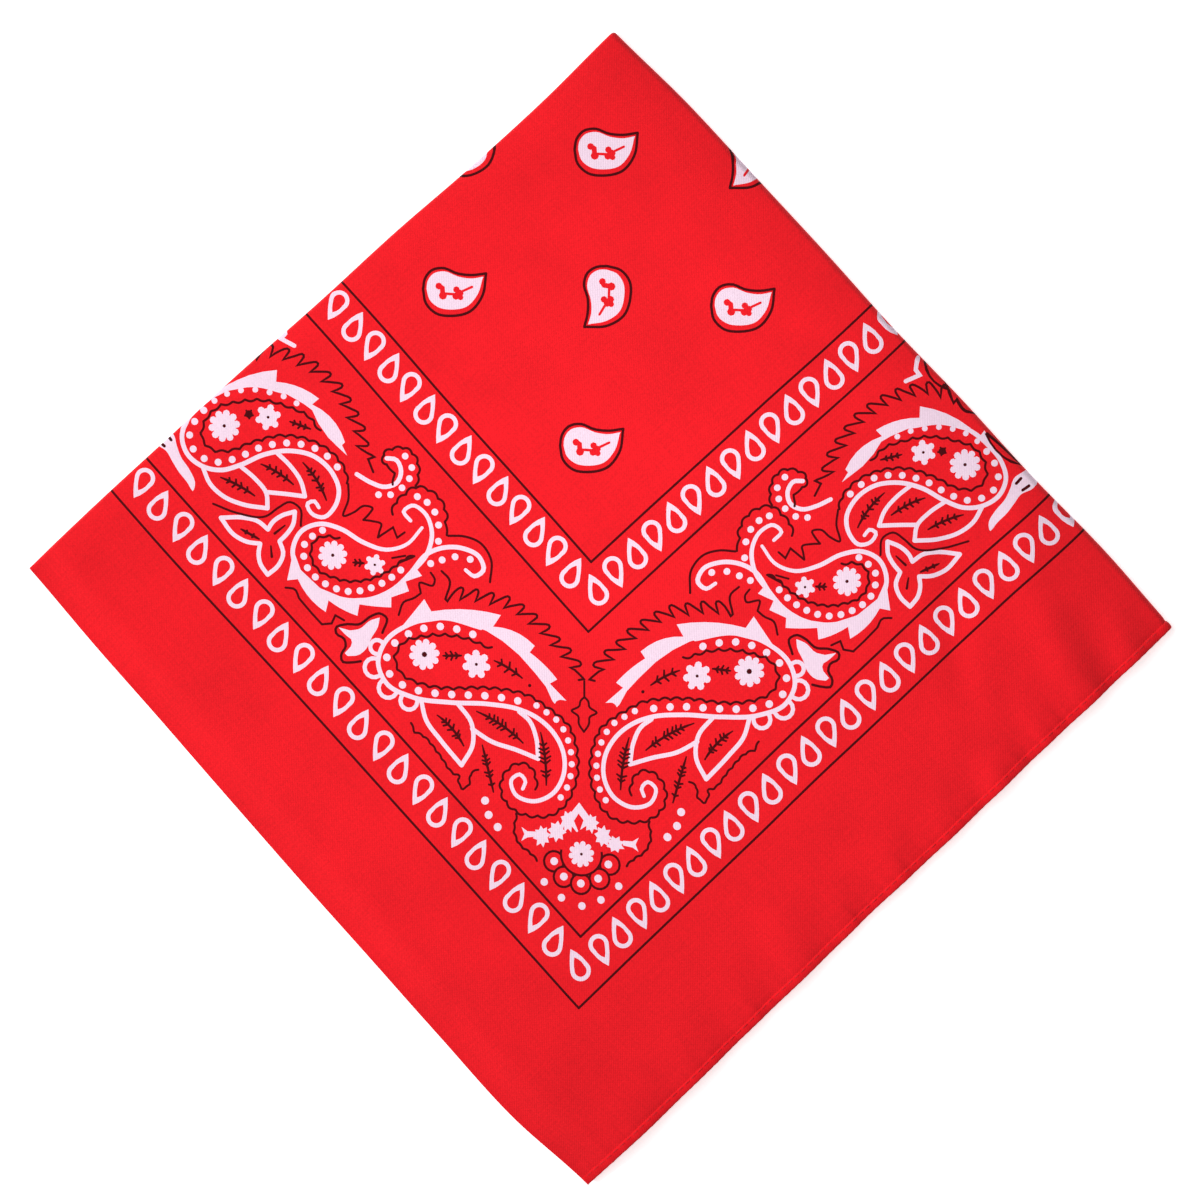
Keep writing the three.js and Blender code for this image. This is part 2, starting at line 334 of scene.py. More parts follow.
class Ink:
    """The drawing's polygons in order, each with its colour."""

    def __init__(self):
        self.shapes = []

    def fill(self, colour, outline):
        self.shapes.append((colour, np.asarray(outline, float)))

    def stroke(self, colour, path, width, ends=(1, 1), caps=True):
        """A line along a path. Each of ends is the width there as a share, reached over
        the last fifth."""
        path = np.asarray(path, float)
        share = np.linspace(0, 1, len(path))
        ramp = np.minimum(
            ends[0] + (1 - ends[0]) * smooth(share / 0.2),
            ends[1] + (1 - ends[1]) * smooth((1 - share) / 0.2),
        )
        half = (width / 2 * ramp)[:, None]
        across = across_of(path)
        left, right = path + across * half, path - across * half
        for i in range(0, len(path) - 1, STRETCH):
            part = slice(i, i + STRETCH + 1)
            self.fill(colour, np.vstack([left[part], right[part][::-1]]))
        if caps:
            for end in (0, -1):
                self.disc(colour, path[end], half[end][0], 8)

    def disc(self, colour, centre, radius, sides=12):
        turn = np.arange(sides) * TAU / sides
        self.fill(colour, np.asarray(centre) + radius * np.stack([np.cos(turn), np.sin(turn)], 1))

    def band(self, points, width=LEAF_LINE, ends=(1, 1)):
        """A white line along a smooth curve."""
        self.stroke(WHITE, curve(points), width, ends)

    def line(self, points, width=FINE_LINE, step=1.2):
        """A dark line along a smooth curve."""
        self.stroke(DARK, curve(points, step), width)

    def lace(self, points, pitch=4.2, depth=0.9, width=DARK_LINE):
        """A dark line of small arcs along a smooth curve."""
        self.stroke(DARK, scalloped(points, pitch, depth), width)

    def dots(self, centres, radius):
        for centre in centres:
            self.disc(WHITE, centre, radius)

    def place(self, drawing, move=None):
        """Draws another drawing here, each of its points moved by a function, if any."""
        for colour, outline in drawing.shapes:
            self.fill(colour, move(outline) if move else outline)


def across_of(path):
    """Unit sideways directions along a path, longer at its corners so that lines keep
    their width."""
    steps = np.diff(path, axis=0)
    steps /= np.maximum(np.linalg.norm(steps, axis=1, keepdims=True), 1e-9)
    before = np.vstack([steps[:1], steps])
    after = np.vstack([steps, steps[-1:]])
    mean = before + after
    mean /= np.maximum(np.linalg.norm(mean, axis=1, keepdims=True), 1e-9)
    stretch = 1 / np.maximum((mean * before).sum(1, keepdims=True), 0.45)
    return np.stack([-mean[:, 1], mean[:, 0]], 1) * stretch


def curve(points, step=1.2):
    """A smooth path through a few points, in about even steps."""
    p = np.asarray(points, float)
    gaps = np.linalg.norm(np.diff(p, axis=0), axis=1)
    t = np.concatenate([[0], np.cumsum(gaps)])
    slopes = np.gradient(p, t, axis=0, edge_order=1)
    count = max(2, int(round(t[-1] / step)))
    at = np.linspace(0, t[-1], count + 1)
    row = np.clip(np.searchsorted(t, at, side="right") - 1, 0, len(p) - 2)
    h = gaps[row][:, None]
    s = ((at - t[row]) / gaps[row])[:, None]
    a, b = p[row], p[row + 1]
    return (
        (2 * s**3 - 3 * s**2 + 1) * a
        + (s**3 - 2 * s**2 + s) * h * slopes[row]
        + (3 * s**2 - 2 * s**3) * b
        + (s**3 - s**2) * h * slopes[row + 1]
    )


def length_along(path):
    return np.concatenate([[0], np.cumsum(np.linalg.norm(np.diff(path, axis=0), axis=1))])


def beside(path, distance):
    """The path moved sideways, by one distance or one for each point."""
    across = across_of(path)
    across = across / np.linalg.norm(across, axis=1, keepdims=True)
    return path + across * np.reshape(distance, (-1, 1))


def at_steps(path, step, start=0.0):
    """Points along a path at even steps."""
    t = length_along(path)
    at = np.arange(start, t[-1] + 1e-6, step)
    return np.stack([np.interp(at, t, path[:, i]) for i in (0, 1)], 1)


def scalloped(points, pitch, depth):
    """A path of small arcs along a curve, bulging to its left, with their cusps on its right."""
    path = at_steps(curve(points, 0.5), 0.55)
    pitch = length_along(path)[-1] / max(1, round(length_along(path)[-1] / pitch))
    return beside(path, depth * (np.abs(np.sin(math.pi * length_along(path) / pitch)) - 0.5))


# One tooth of a toothed line: shares of the pitch along it, and of its depth. It leans
# forwards, with a round tip and a sharp foot
TOOTH_PITCH = 5.1
TOOTH_DEPTH = 4.1
TOOTH = (
    (0, 0), (0.3, 0.3), (0.6, 0.6), (0.85, 0.88), (1.0, 1.0), (1.12, 0.97), (1.17, 0.82), (1.12, 0.5),
)


def zigzag(points):
    """A line of leaning teeth on the left of a curve."""
    path = at_steps(curve(points, 0.5), 0.5)
    t = length_along(path)
    count = round(t[-1] / TOOTH_PITCH)
    sides = beside(path, 1) - path
    drawn = []
    for tooth in range(count):
        size = TOOTH_DEPTH * (1 + 0.1 * math.sin(2.4 * tooth))
        for along, height in TOOTH:
            at = (tooth + along) * t[-1] / count
            foot = np.array([np.interp(at, t, path[:, i]) for i in (0, 1)])
            side = np.array([np.interp(at, t, sides[:, i]) for i in (0, 1)])
            drawn.append(foot + side * size * (height - 0.5))
    return drawn


def bowed(a, b, bow, count=5):
    """An arc from a to b that stands off its chord by bow, to the left if positive. It
    leaves out b."""
    a, b = np.asarray(a, float), np.asarray(b, float)
    t = np.arange(count)[:, None] / count
    side = np.array([-(b - a)[1], (b - a)[0]]) / np.linalg.norm(b - a)
    return a + (b - a) * t + side * bow * 4 * t * (1 - t)


def toothed(start, teeth, inner):
    """A leaf edge: each tooth is a tip, the notch after it and how far the edge up to the
    tip stands off to the left. It goes back along inner."""
    outline, here = [], start
    for tip, notch, bow in teeth:
        outline += [*bowed(here, tip, bow), tip]
        here = notch
    return [*outline, here, *inner]


def flower(ink, centre, radius, petals, eye):
    """A white flower of round petals with a dark eye."""
    ink.disc(WHITE, centre, radius * 0.74, 2 * petals)
    for k in range(petals):
        turn = TAU * (k + 0.3) / petals
        petal = np.asarray(centre) + 0.78 * radius * np.array([math.cos(turn), math.sin(turn)])
        ink.disc(WHITE, petal, radius * (0.225 if petals > 8 else 0.275), 8)
    ink.disc(DARK, centre, eye, 8)


def sprig(ink, start, end, barbs=5, barb=2.0, bow=0.0):
    """A dark stem with slanting barbs across it, longest in the middle."""
    stem = np.array([*bowed(start, end, bow, 12), end])
    ink.stroke(DARK, stem, 0.9, (0.5, 0.6), caps=False)
    direction = np.subtract(end, start) / np.linalg.norm(np.subtract(end, start))
    side = np.array([-direction[1], direction[0]])
    for k in range(barbs):
        middle = stem[int(round((0.16 + 0.7 * (k + 0.5) / barbs) * 12))]
        reach = barb * (0.62 + 0.38 * math.sin(math.pi * (k + 0.5) / barbs) + 0.12 * (k % 2))
        for sign in (1, -1):
            tip = middle + (sign * side - (0.55 - 0.2 * (k % 2)) * direction) * reach
            ink.stroke(DARK, [middle + direction * 0.2, tip], 0.85, (1, 0.75), caps=False)


# A drop's tip and the middle of its bulb, and for each ink its radius and how far short of
# the tip it ends
DROP_TIP = np.array([2.4, 4.9])
DROP_BULB = np.array([0.1, -2.5])
DROP_INKS = ((WHITE, 3.5, 0), (RED, 2.05, 3))


def drop(ink, along, cross, tip_out, to_place):
    """A white drop between two lines. to_place turns (along, cross) points into places."""
    sign = 1 if tip_out else -1
    tip, bulb = DROP_TIP * sign, DROP_BULB * sign
    reach = np.linalg.norm(tip - bulb)
    toward = math.atan2(*(tip - bulb)[::-1])
    for colour, radius, short in DROP_INKS:
        half = math.acos(min(1, radius / (reach - short)))
        turns = toward + np.linspace(half, TAU - half, 17)
        arc = bulb + radius * np.stack([np.cos(turns), np.sin(turns)], 1)
        end = bulb + (tip - bulb) * (1 - short / reach)
        belly = bowed(arc[-1], end, -0.45, 3)[1:]
        back = bowed(end, arc[0], -0.2, 3)
        outline = np.vstack([arc, belly, back])
        ink.fill(colour, to_place(outline + [along, cross]))


def small_paisley():
    """A small filled paisley, its tip towards +x and its hollow side towards +y."""
    ink = Ink()
    belly = curve([
        (-10.3, 0.4), (-9.2, -4.2), (-5.6, -7.4), (-0.2, -7.9), (6.1, -5.9), (9.8, -0.6), (10.7, 7.2),
    ])
    back = curve([(10.7, 7.2), (6, 6.3), (1, 6.5), (-3.8, 8), (-7.6, 7), (-9.8, 4), (-10.3, 0.4)])
    ink.stroke(DARK, belly, 0.9)
    ink.stroke(DARK, back, 0.9)
    low = [(-9.1, 0.5), (-8, -2.9), (-4.9, -5.3), (-0.4, -5.8), (4.8, -4.4), (8.2, -0.1), (9.7, 6)]
    top = [(9.8, 6), (5.8, 5.1), (1.6, 5.4), (-3.6, 6.9), (-7, 5.9), (-8.8, 3.4), (-9.2, 0.5)]
    ink.fill(WHITE, [*curve(low)[:-1], *curve(top)[:-1]])
    ink.stroke(RED, [(-5.1, 2), (-3.8, 1.2), (-3.5, -1.2)], 1.7)
    spots = (
        ((-5, 1.8), 1.2), ((-3.5, -1.3), 1.4), ((1, 1), 1.15), ((0.9, -1.2), 1.25),
        ((2.3, -0.1), 1.2), ((2.5, -1.5), 1),
    )
    for centre, radius in spots:
        ink.disc(RED, centre, radius, 8)
    ink.stroke(RED, [(-3.6, -0.6), (0.9, -0.6)], 0.9, caps=False)
    ink.stroke(RED, [(2.3, 0.2), (6.2, 2.3)], 0.85)
    return ink


def corner_form(ink):
    """The corner paisley's outline, lobes, leaves and toothed edge, with a row of dots along it."""
    head = [
        (36.9, 205.2), (50.6, 202.8), (62.4, 206), (70, 212.2), (72.2, 219.5), (69.2, 226), (60.3, 230),
        (47.2, 230.9), (34.1, 230.5),
    ]
    tail = [
        (23.4, 231.6), (16.8, 234.2), (10.9, 239.2), (7.3, 246.2), (7.1, 252.8), (11, 260), (18, 262.9),
        (24.2, 260.6), (25.5, 255.8), (22.6, 253.9), (20.6, 256.2), (21.5, 258.8),
    ]
    outline = curve(head + tail)
    lobes = (((72.6, 214), 2.5), ((73.6, 221), 3.3), ((68.7, 227.6), 3.3), ((61.5, 231.4), 3))
    for centre, radius in lobes:
        ink.disc(WHITE, centre, radius + 0.6, 14)
        ink.disc(RED, centre, radius - 0.8, 12)
    ink.fill(RED, [*outline[:70], (12, 226), (30, 208)])
    for side in (
        [(57.3, 230.9), (55.4, 237.5), (50.6, 243.5), (43, 251.8)],
        [(43, 251.8), (39.3, 244.6), (40, 237), (44.6, 231.2)],
        [(39.6, 239.3), (32.7, 243.2), (24.2, 245.5), (16.3, 248.2)],
        [(16.3, 248.2), (17.2, 240.9), (19.8, 235.1), (23.3, 232.4)],
    ):
        ink.band(side, 1.5)
    ink.stroke(WHITE, outline, WHITE_LINE, (0.6, 0.8))
    teeth = [
        ((56.7, 196.7), (54.2, 200.7), 0), ((30.2, 200.1), (32.8, 204.2), 1.3),
        ((18.3, 209.6), (20, 211.9), 1.6), ((10.3, 220.5), (12.8, 222.1), 0.5),
        ((6.9, 227.6), (8.8, 227.4), 0), ((10.9, 228.9), (11.8, 227.9), -0.4),
    ]
    inner = [
        (14.1, 223.3), (18, 218.8), (23.7, 213), (29.4, 208.8), (35.1, 205.8), (42.6, 203.6),
        (50.1, 203.2),
    ]
    ink.fill(WHITE, toothed((64, 206.2), teeth, inner))
    ink.dots(at_steps(beside(outline, 2.7), 5.75, 2.4)[:16], 1.3)


def corner_inside(ink):
    """What fills the corner paisley and its leaves."""
    row = curve([(17.3, 229.9), (9.1, 235.5), (5.2, 243.5), (4.4, 250.5), (5.7, 257.2), (9.2, 262.8)])
    ink.dots(at_steps(row, 4.15), 1.1)
    ink.lace([
        (33.2, 211.6), (43.4, 208.6), (55.3, 208.9), (64.7, 212.8), (66.6, 217.4), (64.8, 221.8),
        (55.6, 225.8), (47.3, 226.2), (36.6, 225.2), (26.4, 225.5), (20.2, 226.7), (14, 230.1), (9, 233.4),
        (5.5, 236.8), (3.3, 242.3), (2.3, 247.8), (2.3, 252.5), (3.7, 258.2), (6.5, 263.6), (11.1, 267.2),
        (17.8, 268), (23.5, 266.6), (28.2, 262.2), (29, 256.4), (26.9, 252.6), (23.1, 250.2), (19.2, 251),
        (17.1, 254.6), (16.6, 258.9),
    ])
    flower(ink, (56.4, 215.4), 5.3, 10, 0.95)
    flower(ink, (38.4, 217.4), 4.7, 7, 0.55)
    sprig(ink, (50.2, 215.4), (43.4, 214.8), 3, 1.5)
    sprig(ink, (32.4, 215.6), (22.3, 221), 3, 2, 0.5)
    ink.disc(DARK, (19.8, 223.2), 0.6, 8)
    sprig(ink, (51.8, 235.4), (42.3, 245.4), 5, 1.7, 0.9)
    sprig(ink, (38.3, 233.2), (21.6, 243.2), 7, 1.9, 1)
    sprig(ink, (36, 244.4), (31.6, 260.6), 6, 1.5)
    sprig(ink, (15.7, 238.9), (13.2, 257.3), 7, 2, 0.6)
    ink.lace([
        (60.4, 238.6), (59.5, 241.4), (57, 242.4), (50.5, 249), (45.6, 254.8), (43.8, 255.5),
        (44, 257.6), (42.2, 259.8), (39.9, 257.4), (39.9, 255.1), (37, 252.6),
    ], 3.2, 0.5, FINE_LINE)


def corner_outside(ink):
    """The toothed line, the curls and the bud beside the corner paisley."""
    feeler = curve([(50.9, 186.8), (48.2, 189.4), (49.4, 196.2)])
    comb = zigzag([
        (49.4, 194.9), (46.6, 194), (40.8, 194.2), (34.2, 194.6), (27.7, 196), (22.2, 198.6),
        (17.9, 201.5), (13.7, 205.2), (10.3, 208.6), (6.9, 212), (3.8, 216), (2.8, 220.4),
    ])
    ink.stroke(DARK, [*feeler, *comb], DARK_LINE)
    ink.line([(65.4, 202.7), (63.7, 198.2), (60.2, 196.6), (57.9, 194.8)])
    ink.line([(57.9, 194.8), (58.4, 191.4), (53.6, 191.7), (53.2, 189.8), (54.6, 187.6)], step=0.6)
    lower = curve([(71.9, 204), (72.4, 207), (74.6, 211), (76.4, 214.9), (79, 217.1), (82.6, 217.6)], 1.5)
    outer = curve([(81.6, 214.4), (81.2, 212.4), (83.4, 210.6), (85.8, 208.2)], 1.5)
    upper = curve([(82, 209), (78.8, 208.3), (75.1, 205.2), (71.9, 204)], 1.5)
    ink.fill(WHITE, [*lower, (83.6, 216.7), *outer, *upper])
    ink.line([
        (70.9, 209.1), (69.6, 203.8), (71.9, 202.6), (74.8, 203.7), (78.8, 206.7), (83.4, 207),
        (86.8, 208.5), (86.6, 210.3), (83.9, 211.9), (83.3, 214.3), (84.8, 217.4), (84.4, 219.5),
        (81.4, 219.7), (78.1, 219.1),
    ], 0.85)
    ink.dots(((34.5, 263.4), (33.1, 268.2), (29.8, 272.2)), 1.4)


def corner_paisley():
    """The large paisley beside the corner, on the diagonal's left."""
    ink = Ink()
    corner_form(ink)
    corner_inside(ink)
    corner_outside(ink)
    return ink


def middle_form(ink):
    """The middle paisley's outline, curled end, toothed edge and row of dots."""
    outline = curve([
        (57.9, 172.6), (63, 178.6), (69.9, 180.9), (77.8, 179), (85.7, 174.9), (92.7, 173.7),
        (98.9, 176.5), (101.8, 183.4), (99.7, 190.2), (92.5, 196.1), (83.6, 198.8), (74.7, 197.9),
        (67.6, 194.3), (61.2, 187.9), (55.9, 181.1), (54.6, 173.2), (57.1, 167.6), (61.4, 165.3),
        (64.3, 167.6), (61.9, 170.5),
    ])
    ink.stroke(WHITE, outline, WHITE_LINE, (0.7, 0.8))
    ink.band([
        (61.3, 188), (55.9, 181.3), (50.7, 178.9), (43.7, 178.6), (38, 181.2), (36.6, 185.4),
        (39.6, 187.7), (42.7, 185.8),
    ], WHITE_LINE, (1, 0.8))
    teeth = [
        ((103.5, 193.4), (99.9, 192.8), 0), ((90.3, 203.3), (89.4, 199.3), -1.1),
        ((79.5, 203.9), (78.9, 200), -0.5), ((68, 200.3), (68, 196.9), -0.2),
        ((62, 194.4), (63.2, 191.2), 0), ((57.6, 188.9), (60, 186), 0),
    ]
    inner = [
        (63, 189.4), (67.4, 193.6), (74.7, 197.4), (83.6, 198.4), (92.3, 195.4), (99, 189.6), (101.2, 184),
    ]
    ink.fill(WHITE, toothed((101.4, 182.3), teeth, inner))
    row = curve([
        (91.8, 175.8), (97.7, 180.5), (96.8, 188.7), (90.2, 194), (82.5, 195.9), (74.5, 194),
        (67.3, 189.6), (63.6, 186.2),
    ])
    ink.dots(at_steps(row, 4.05), 1.2)


def middle_inside(ink):
    """What fills the middle paisley, and the lines round it."""
    ink.lace([
        (86, 178.3), (90.3, 177.6), (94.2, 179.2), (95.7, 182.6), (95, 186.9), (92.3, 190), (88.2, 191.5),
        (83.2, 192.5), (77.8, 192), (72.9, 190.4), (68, 187.4), (64, 184), (60.2, 182),
    ], 3.6, 0.7)
    ink.stroke(DARK, [(67.9, 183.6), (63.4, 182.5)], 0.7)
    ink.stroke(DARK, [(65.4, 185), (60.8, 182.8)], 0.7)
    flower(ink, (88.2, 184), 5, 10, 0.6)
    flower(ink, (73.8, 186.3), 3.5, 6, 0.45)
    sprig(ink, (81.5, 186), (77.3, 186), 2, 1.4)
    ink.dots((
        (59.8, 162.2), (56.4, 163.9), (53.7, 167), (52.3, 171.3), (52.2, 176.8), (54.7, 184.5),
        (50.8, 183), (46.4, 181.6), (41.2, 182.1),
    ), 1.2)
    ink.lace([
        (68.4, 168.8), (67.4, 165.3), (64.3, 161.8), (60.5, 159), (55.5, 159.9), (51.5, 163.3),
        (49.7, 167.8), (49.8, 172.4), (48.9, 174.7),
    ], 4.2, 0.8)
    ink.line([(48.9, 174.7), (43.4, 174.5), (37.8, 176.4), (34.1, 181.6), (34.2, 189.3)], DARK_LINE)
    ink.stroke(DARK, [
        (99.4, 199.2), (95, 204), (91.5, 207.5), (88.2, 207), (87, 204.2), (84, 205.7),
    ], FINE_LINE)
    ink.line([(104, 195.9), (100.8, 196.3), (99.4, 199.2)])


def middle_paisley():
    """The paisley half-way along the side, with its two curled ends."""
    ink = Ink()
    middle_form(ink)
    middle_inside(ink)
    return ink


def small_curl():
    """The little curl between the two upper paisleys and the line."""
    ink = Ink()
    ink.band([
        (80.6, 156.1), (75.6, 158.6), (70.9, 159.7), (66.9, 158), (65.6, 153.8), (67.5, 150.2),
        (70.6, 150),
    ], 1.5)
    ink.dots(((64.4, 148.8), (62, 152.5), (62.7, 156.3), (65.1, 159.6), (68.9, 162.2), (73, 162.5)), 1.15)
    ink.lace([
        (68.6, 158.6), (67.7, 156.3), (68.8, 153.7), (71.6, 151.5), (71.8, 148.7), (68.2, 146.4),
        (64.2, 146.2), (60.7, 149.1), (59.6, 152.7), (60.2, 158.9),
    ], 4, 0.7)
    return ink


def upper_form(ink):
    """The upper paisley's leaves, outline, toothed edge and row of dots."""
    outline = curve([
        (106.4, 130.6), (116.8, 128.9), (127, 131.2), (133.9, 136.2), (138.6, 141.6), (140.4, 147),
        (138.4, 153), (132.8, 157), (126.8, 157.8), (120, 155.6), (112.5, 151.8), (103.5, 149.9),
        (95.3, 151.2), (89, 156.2), (86.5, 162.2), (87.9, 167.8), (91.6, 171.4), (95.7, 170.3),
        (97.1, 167.2), (94.8, 166.2), (93.2, 168.2),
    ])
    for side in (
        [(132.8, 157.4), (130.3, 162.5), (125.9, 166.3), (118.9, 168.8), (110.6, 169.6)],
        [(110.6, 169.6), (111.2, 164.4), (114.8, 160.2), (120.4, 155.9)],
        [(111.2, 164.2), (104.5, 164.4), (98, 164.8)],
        [(98, 164.8), (99.5, 159.9), (103.3, 154.9), (107.9, 150.9)],
    ):
        ink.band(side)
    ink.stroke(WHITE, outline, WHITE_LINE, (0.6, 0.8))
    teeth = [
        ((132, 131.2), (130.6, 133.2), 0.4), ((109.1, 123.2), (109.2, 127.2), 1.9),
        ((94.5, 131.8), (96.7, 133.9), 1.2), ((85, 145.7), (86, 146.7), 1.9),
        ((84.1, 150.1), (87.3, 147.5), 0),
    ]
    inner = [
        (90.8, 144.5), (94.3, 140.1), (96.6, 135.8), (99.6, 133.9), (105.2, 131.2), (110.9, 129.6),
        (117.6, 129.3), (127, 131.6), (134, 136.6),
    ]
    ink.fill(WHITE, toothed((139.9, 144.2), teeth, inner))
    row = beside(outline, np.interp(length_along(outline), (0, 27, 40), (1.2, 1.6, 2.6)))
    for k, centre in enumerate(at_steps(np.vstack([[(102, 133.9)], row]), 4.9)[:22]):
        ink.disc(WHITE, centre, 1.0 if k < 7 else 1.2)


def upper_inside(ink):
    """What fills the upper paisley and its leaves, and the line round it."""
    ink.lace([
        (93.7, 142.6), (97.2, 138.3), (104.1, 135.4), (113.2, 133.6), (121.4, 134.6), (129.2, 137.3),
        (132.8, 141.8), (133.4, 148), (130.1, 151.2), (124.7, 151.4), (116.1, 147.8), (105.8, 145),
        (96.7, 146), (88.9, 149.9), (85, 154.4), (83.4, 159.6),
    ], 4.1, 0.8)
    ink.line([
        (83.4, 159.6), (83.2, 164.8), (84.7, 170.5), (81.2, 169), (77.8, 166.6), (74.9, 167.2),
        (76.2, 169.4), (78, 171.4),
    ], step=0.8)
    ink.line([(78, 171.4), (74.8, 171.6), (71.8, 172.4), (72.4, 174.8), (72.9, 177)], step=0.8)
    ink.stroke(DARK, [(72.9, 177), (67.8, 173.2), (66.3, 176.6), (63.8, 174.6)], FINE_LINE)
    flower(ink, (126.1, 143), 5.4, 10, 0.6)
    flower(ink, (111.4, 139.2), 4.2, 6, 0.5)
    ink.disc(DARK, (117.9, 138.6), 1.35, 9)
    for turn in (0.4, 1.7, 2.9, 4.2, 5.4):
        ink.disc(DARK, (117.9 + 1.4 * math.cos(turn), 138.6 + 1.4 * math.sin(turn)), 0.4, 6)
    sprig(ink, (104.2, 140.1), (96.7, 142.2), 3, 1.3)
    sprig(ink, (126.9, 160.2), (114.9, 165.8), 4, 1.55, 0.5)
    sprig(ink, (113.4, 154.9), (101.9, 161.2), 4, 1.55, 0.6)
    sprig(ink, (99.2, 153.4), (90.6, 165.8), 5, 1.55, 0.9)


def upper_outside(ink):
    """The toothed line and the buds beside the upper paisley."""
    feeler = curve([(129.3, 125.8), (124.6, 124.4), (121.6, 120.8)])
    comb = zigzag([
        (121.6, 120), (115.6, 117.6), (107.6, 117.2), (103.3, 118.7), (97.8, 120.9), (92.9, 124),
        (88.6, 128), (85.4, 132), (83, 136.2), (80.3, 141.4), (78.3, 147.5), (76.8, 151),
    ])
    ink.stroke(DARK, [*feeler, *comb, (75, 155)], DARK_LINE)
    ink.stroke(WHITE, [(107.4, 106.6), (107, 110.6), (108.4, 112.4), (103.7, 114.6)], LEAF_LINE)
    eye = [*bowed((109.6, 107.8), (118, 117.2), 1.6), *bowed((118, 117.2), (109.6, 107.8), 1.8)]
    ink.stroke(DARK, [*eye, eye[0]], FINE_LINE, caps=False)
    lens = [*bowed((132.6, 132), (145.2, 142.8), -0.2), *bowed((145.2, 142.8), (132.6, 132), -1.8)]
    ink.stroke(DARK, [*lens, lens[0]], FINE_LINE, caps=False)
    ink.fill(WHITE, curve([
        (147, 144.4), (143.2, 147), (142, 150.6), (140.4, 154.3), (137.2, 158.6), (135.3, 163),
        (135.9, 165.4), (138, 162.6), (141.2, 159), (143.5, 155.6), (145.6, 152.5), (149.8, 150.2),
        (151.4, 147.6), (147, 144.4),
    ]))
    ink.stroke(DARK, [(145.6, 147), (144, 148.8)], 1)
    ink.stroke(DARK, [(148.4, 149.4), (146.2, 151)], 1)


def upper_paisley():
    """The paisley that the fold cuts, with its leaves."""
    ink = Ink()
    upper_form(ink)
    upper_inside(ink)
    upper_outside(ink)
    return ink


def three_leaves():
    """Three outlined leaves from one point, between the upper and the middle paisley."""
    ink = Ink()
    for side in (
        [(126.3, 173.7), (118.6, 173.2), (113.6, 174.2), (110.3, 176.7)],
        [(110.3, 176.7), (109, 174.4), (106, 171.9), (101.3, 170.1)],
        [(101.3, 170.1), (101.8, 174.4), (103.9, 177.8), (106.3, 180.4)],
        [(106.3, 180.4), (105, 184.4), (106.6, 188.6), (110.1, 191.9)],
        [(110.1, 191.9), (112.7, 188.2), (113.3, 184.8), (112.8, 181.6)],
        [(112.8, 181.6), (117.4, 181.2), (121.6, 179.2), (126.3, 173.7)],
    ):
        ink.band(side)
    sprig(ink, (119.6, 177), (113, 180.2), 2, 0.9)
    ink.stroke(DARK, [(109.2, 182.2), (108.8, 185.8)], 0.9, (0.6, 1))
    ink.stroke(DARK, [(108, 177.9), (104.6, 175)], 0.9, (1, 0.6))
    ink.line([
        (129, 169.2), (120.7, 171.8), (110.9, 172.2), (107, 169.2), (103, 167), (99.6, 168.9),
        (99.2, 174.8),
    ])
    return ink


def burst(ink, centre, wide, high, spikes, lean):
    """A white spiky blob."""
    outline = []
    for k in range(2 * spikes):
        turn = lean + math.pi * k / spikes
        size = 0.64 if k % 2 else 1.06 + 0.12 * math.sin(3 * k)
        s, d = wide * size * math.cos(turn), high * size * math.sin(turn)
        outline.append((centre[0] + s, centre[1] + d))
    ink.fill(WHITE, outline)


# The fan's middle, and how far out its ring of discs lies
FAN = np.array([0.2, 280])
FAN_REACH = 10


def fan_disc(ink, degrees):
    """A dark ring with red inside, on the fan's arc."""
    turn = math.radians(degrees)
    centre = FAN + np.array([math.cos(turn), math.sin(turn)]) * FAN_REACH
    ink.disc(DARK, centre, 3.85, 18)
    ink.disc(RED, centre, 3.05, 16)


def fan_half():
    """The left half of what stands in the corner, but for its flower and its crown."""
    ink = Ink()
    for degrees in (17, 53):
        fan_disc(ink, degrees)
    ink.lace([(23.3, 267.4), (24, 273.6), (21.6, 278.2), (18.6, 280.2), (15.2, 283.2)], 3, 0.5)
    ink.dots(((12.9, 290), (6.8, 295)), 1.3)
    return ink


# The crown's spiky blobs, from the left arm to the right one: place and half sizes
CROWN = (
    ((14.2, 274.6), 3.1, 3.9),
    ((9, 272.6), 3.5, 3.8),
    ((5.2, 269), 3, 4),
    ((-3, 269.3), 2.9, 3.4),
    ((-7.2, 273.4), 3.2, 3.9),
    ((-11.6, 275.9), 3.4, 3.1),
)


def fan_frame(ink):
    """The disc that frames the fan's flower, and the cloth clear of it above."""
    fan_disc(ink, 90)
    ink.disc(DARK, FAN, 7.6, 28)
    ink.disc(RED, FAN, 6.8, 28)
    ink.fill(RED, [FAN + p for p in ((-8.4, -9), (8.4, -9), (7.9, -1.2), (-7.9, -1.2))])


def crown(ink):
    """The white arch over the fan, with a tail at each end."""
    for k, (centre, wide, high) in enumerate(CROWN):
        burst(ink, centre, wide, high, 8, 0.2 + 0.5 * k)
    ink.fill(WHITE, [(1.4, 262.4), (6, 268.4), (2, 272.6), (-3.6, 268.6)])
    ink.fill(RED, [(1.5, 266.2), (3.1, 268.8), (1.2, 272.9), (-0.3, 268.4)])
    for side, low in ((1, 0), (-1, 1.3)):
        tail = [
            (21.5, 271.8), (19.4, 273.2), (16, 273.2), (16, 274.8), (19.4, 275.3), (21.4, 276.6),
            (20.4, 274.2),
        ]
        ink.fill(WHITE, [(side * s + (1.7 if side < 0 else 0), d + low) for s, d in tail])


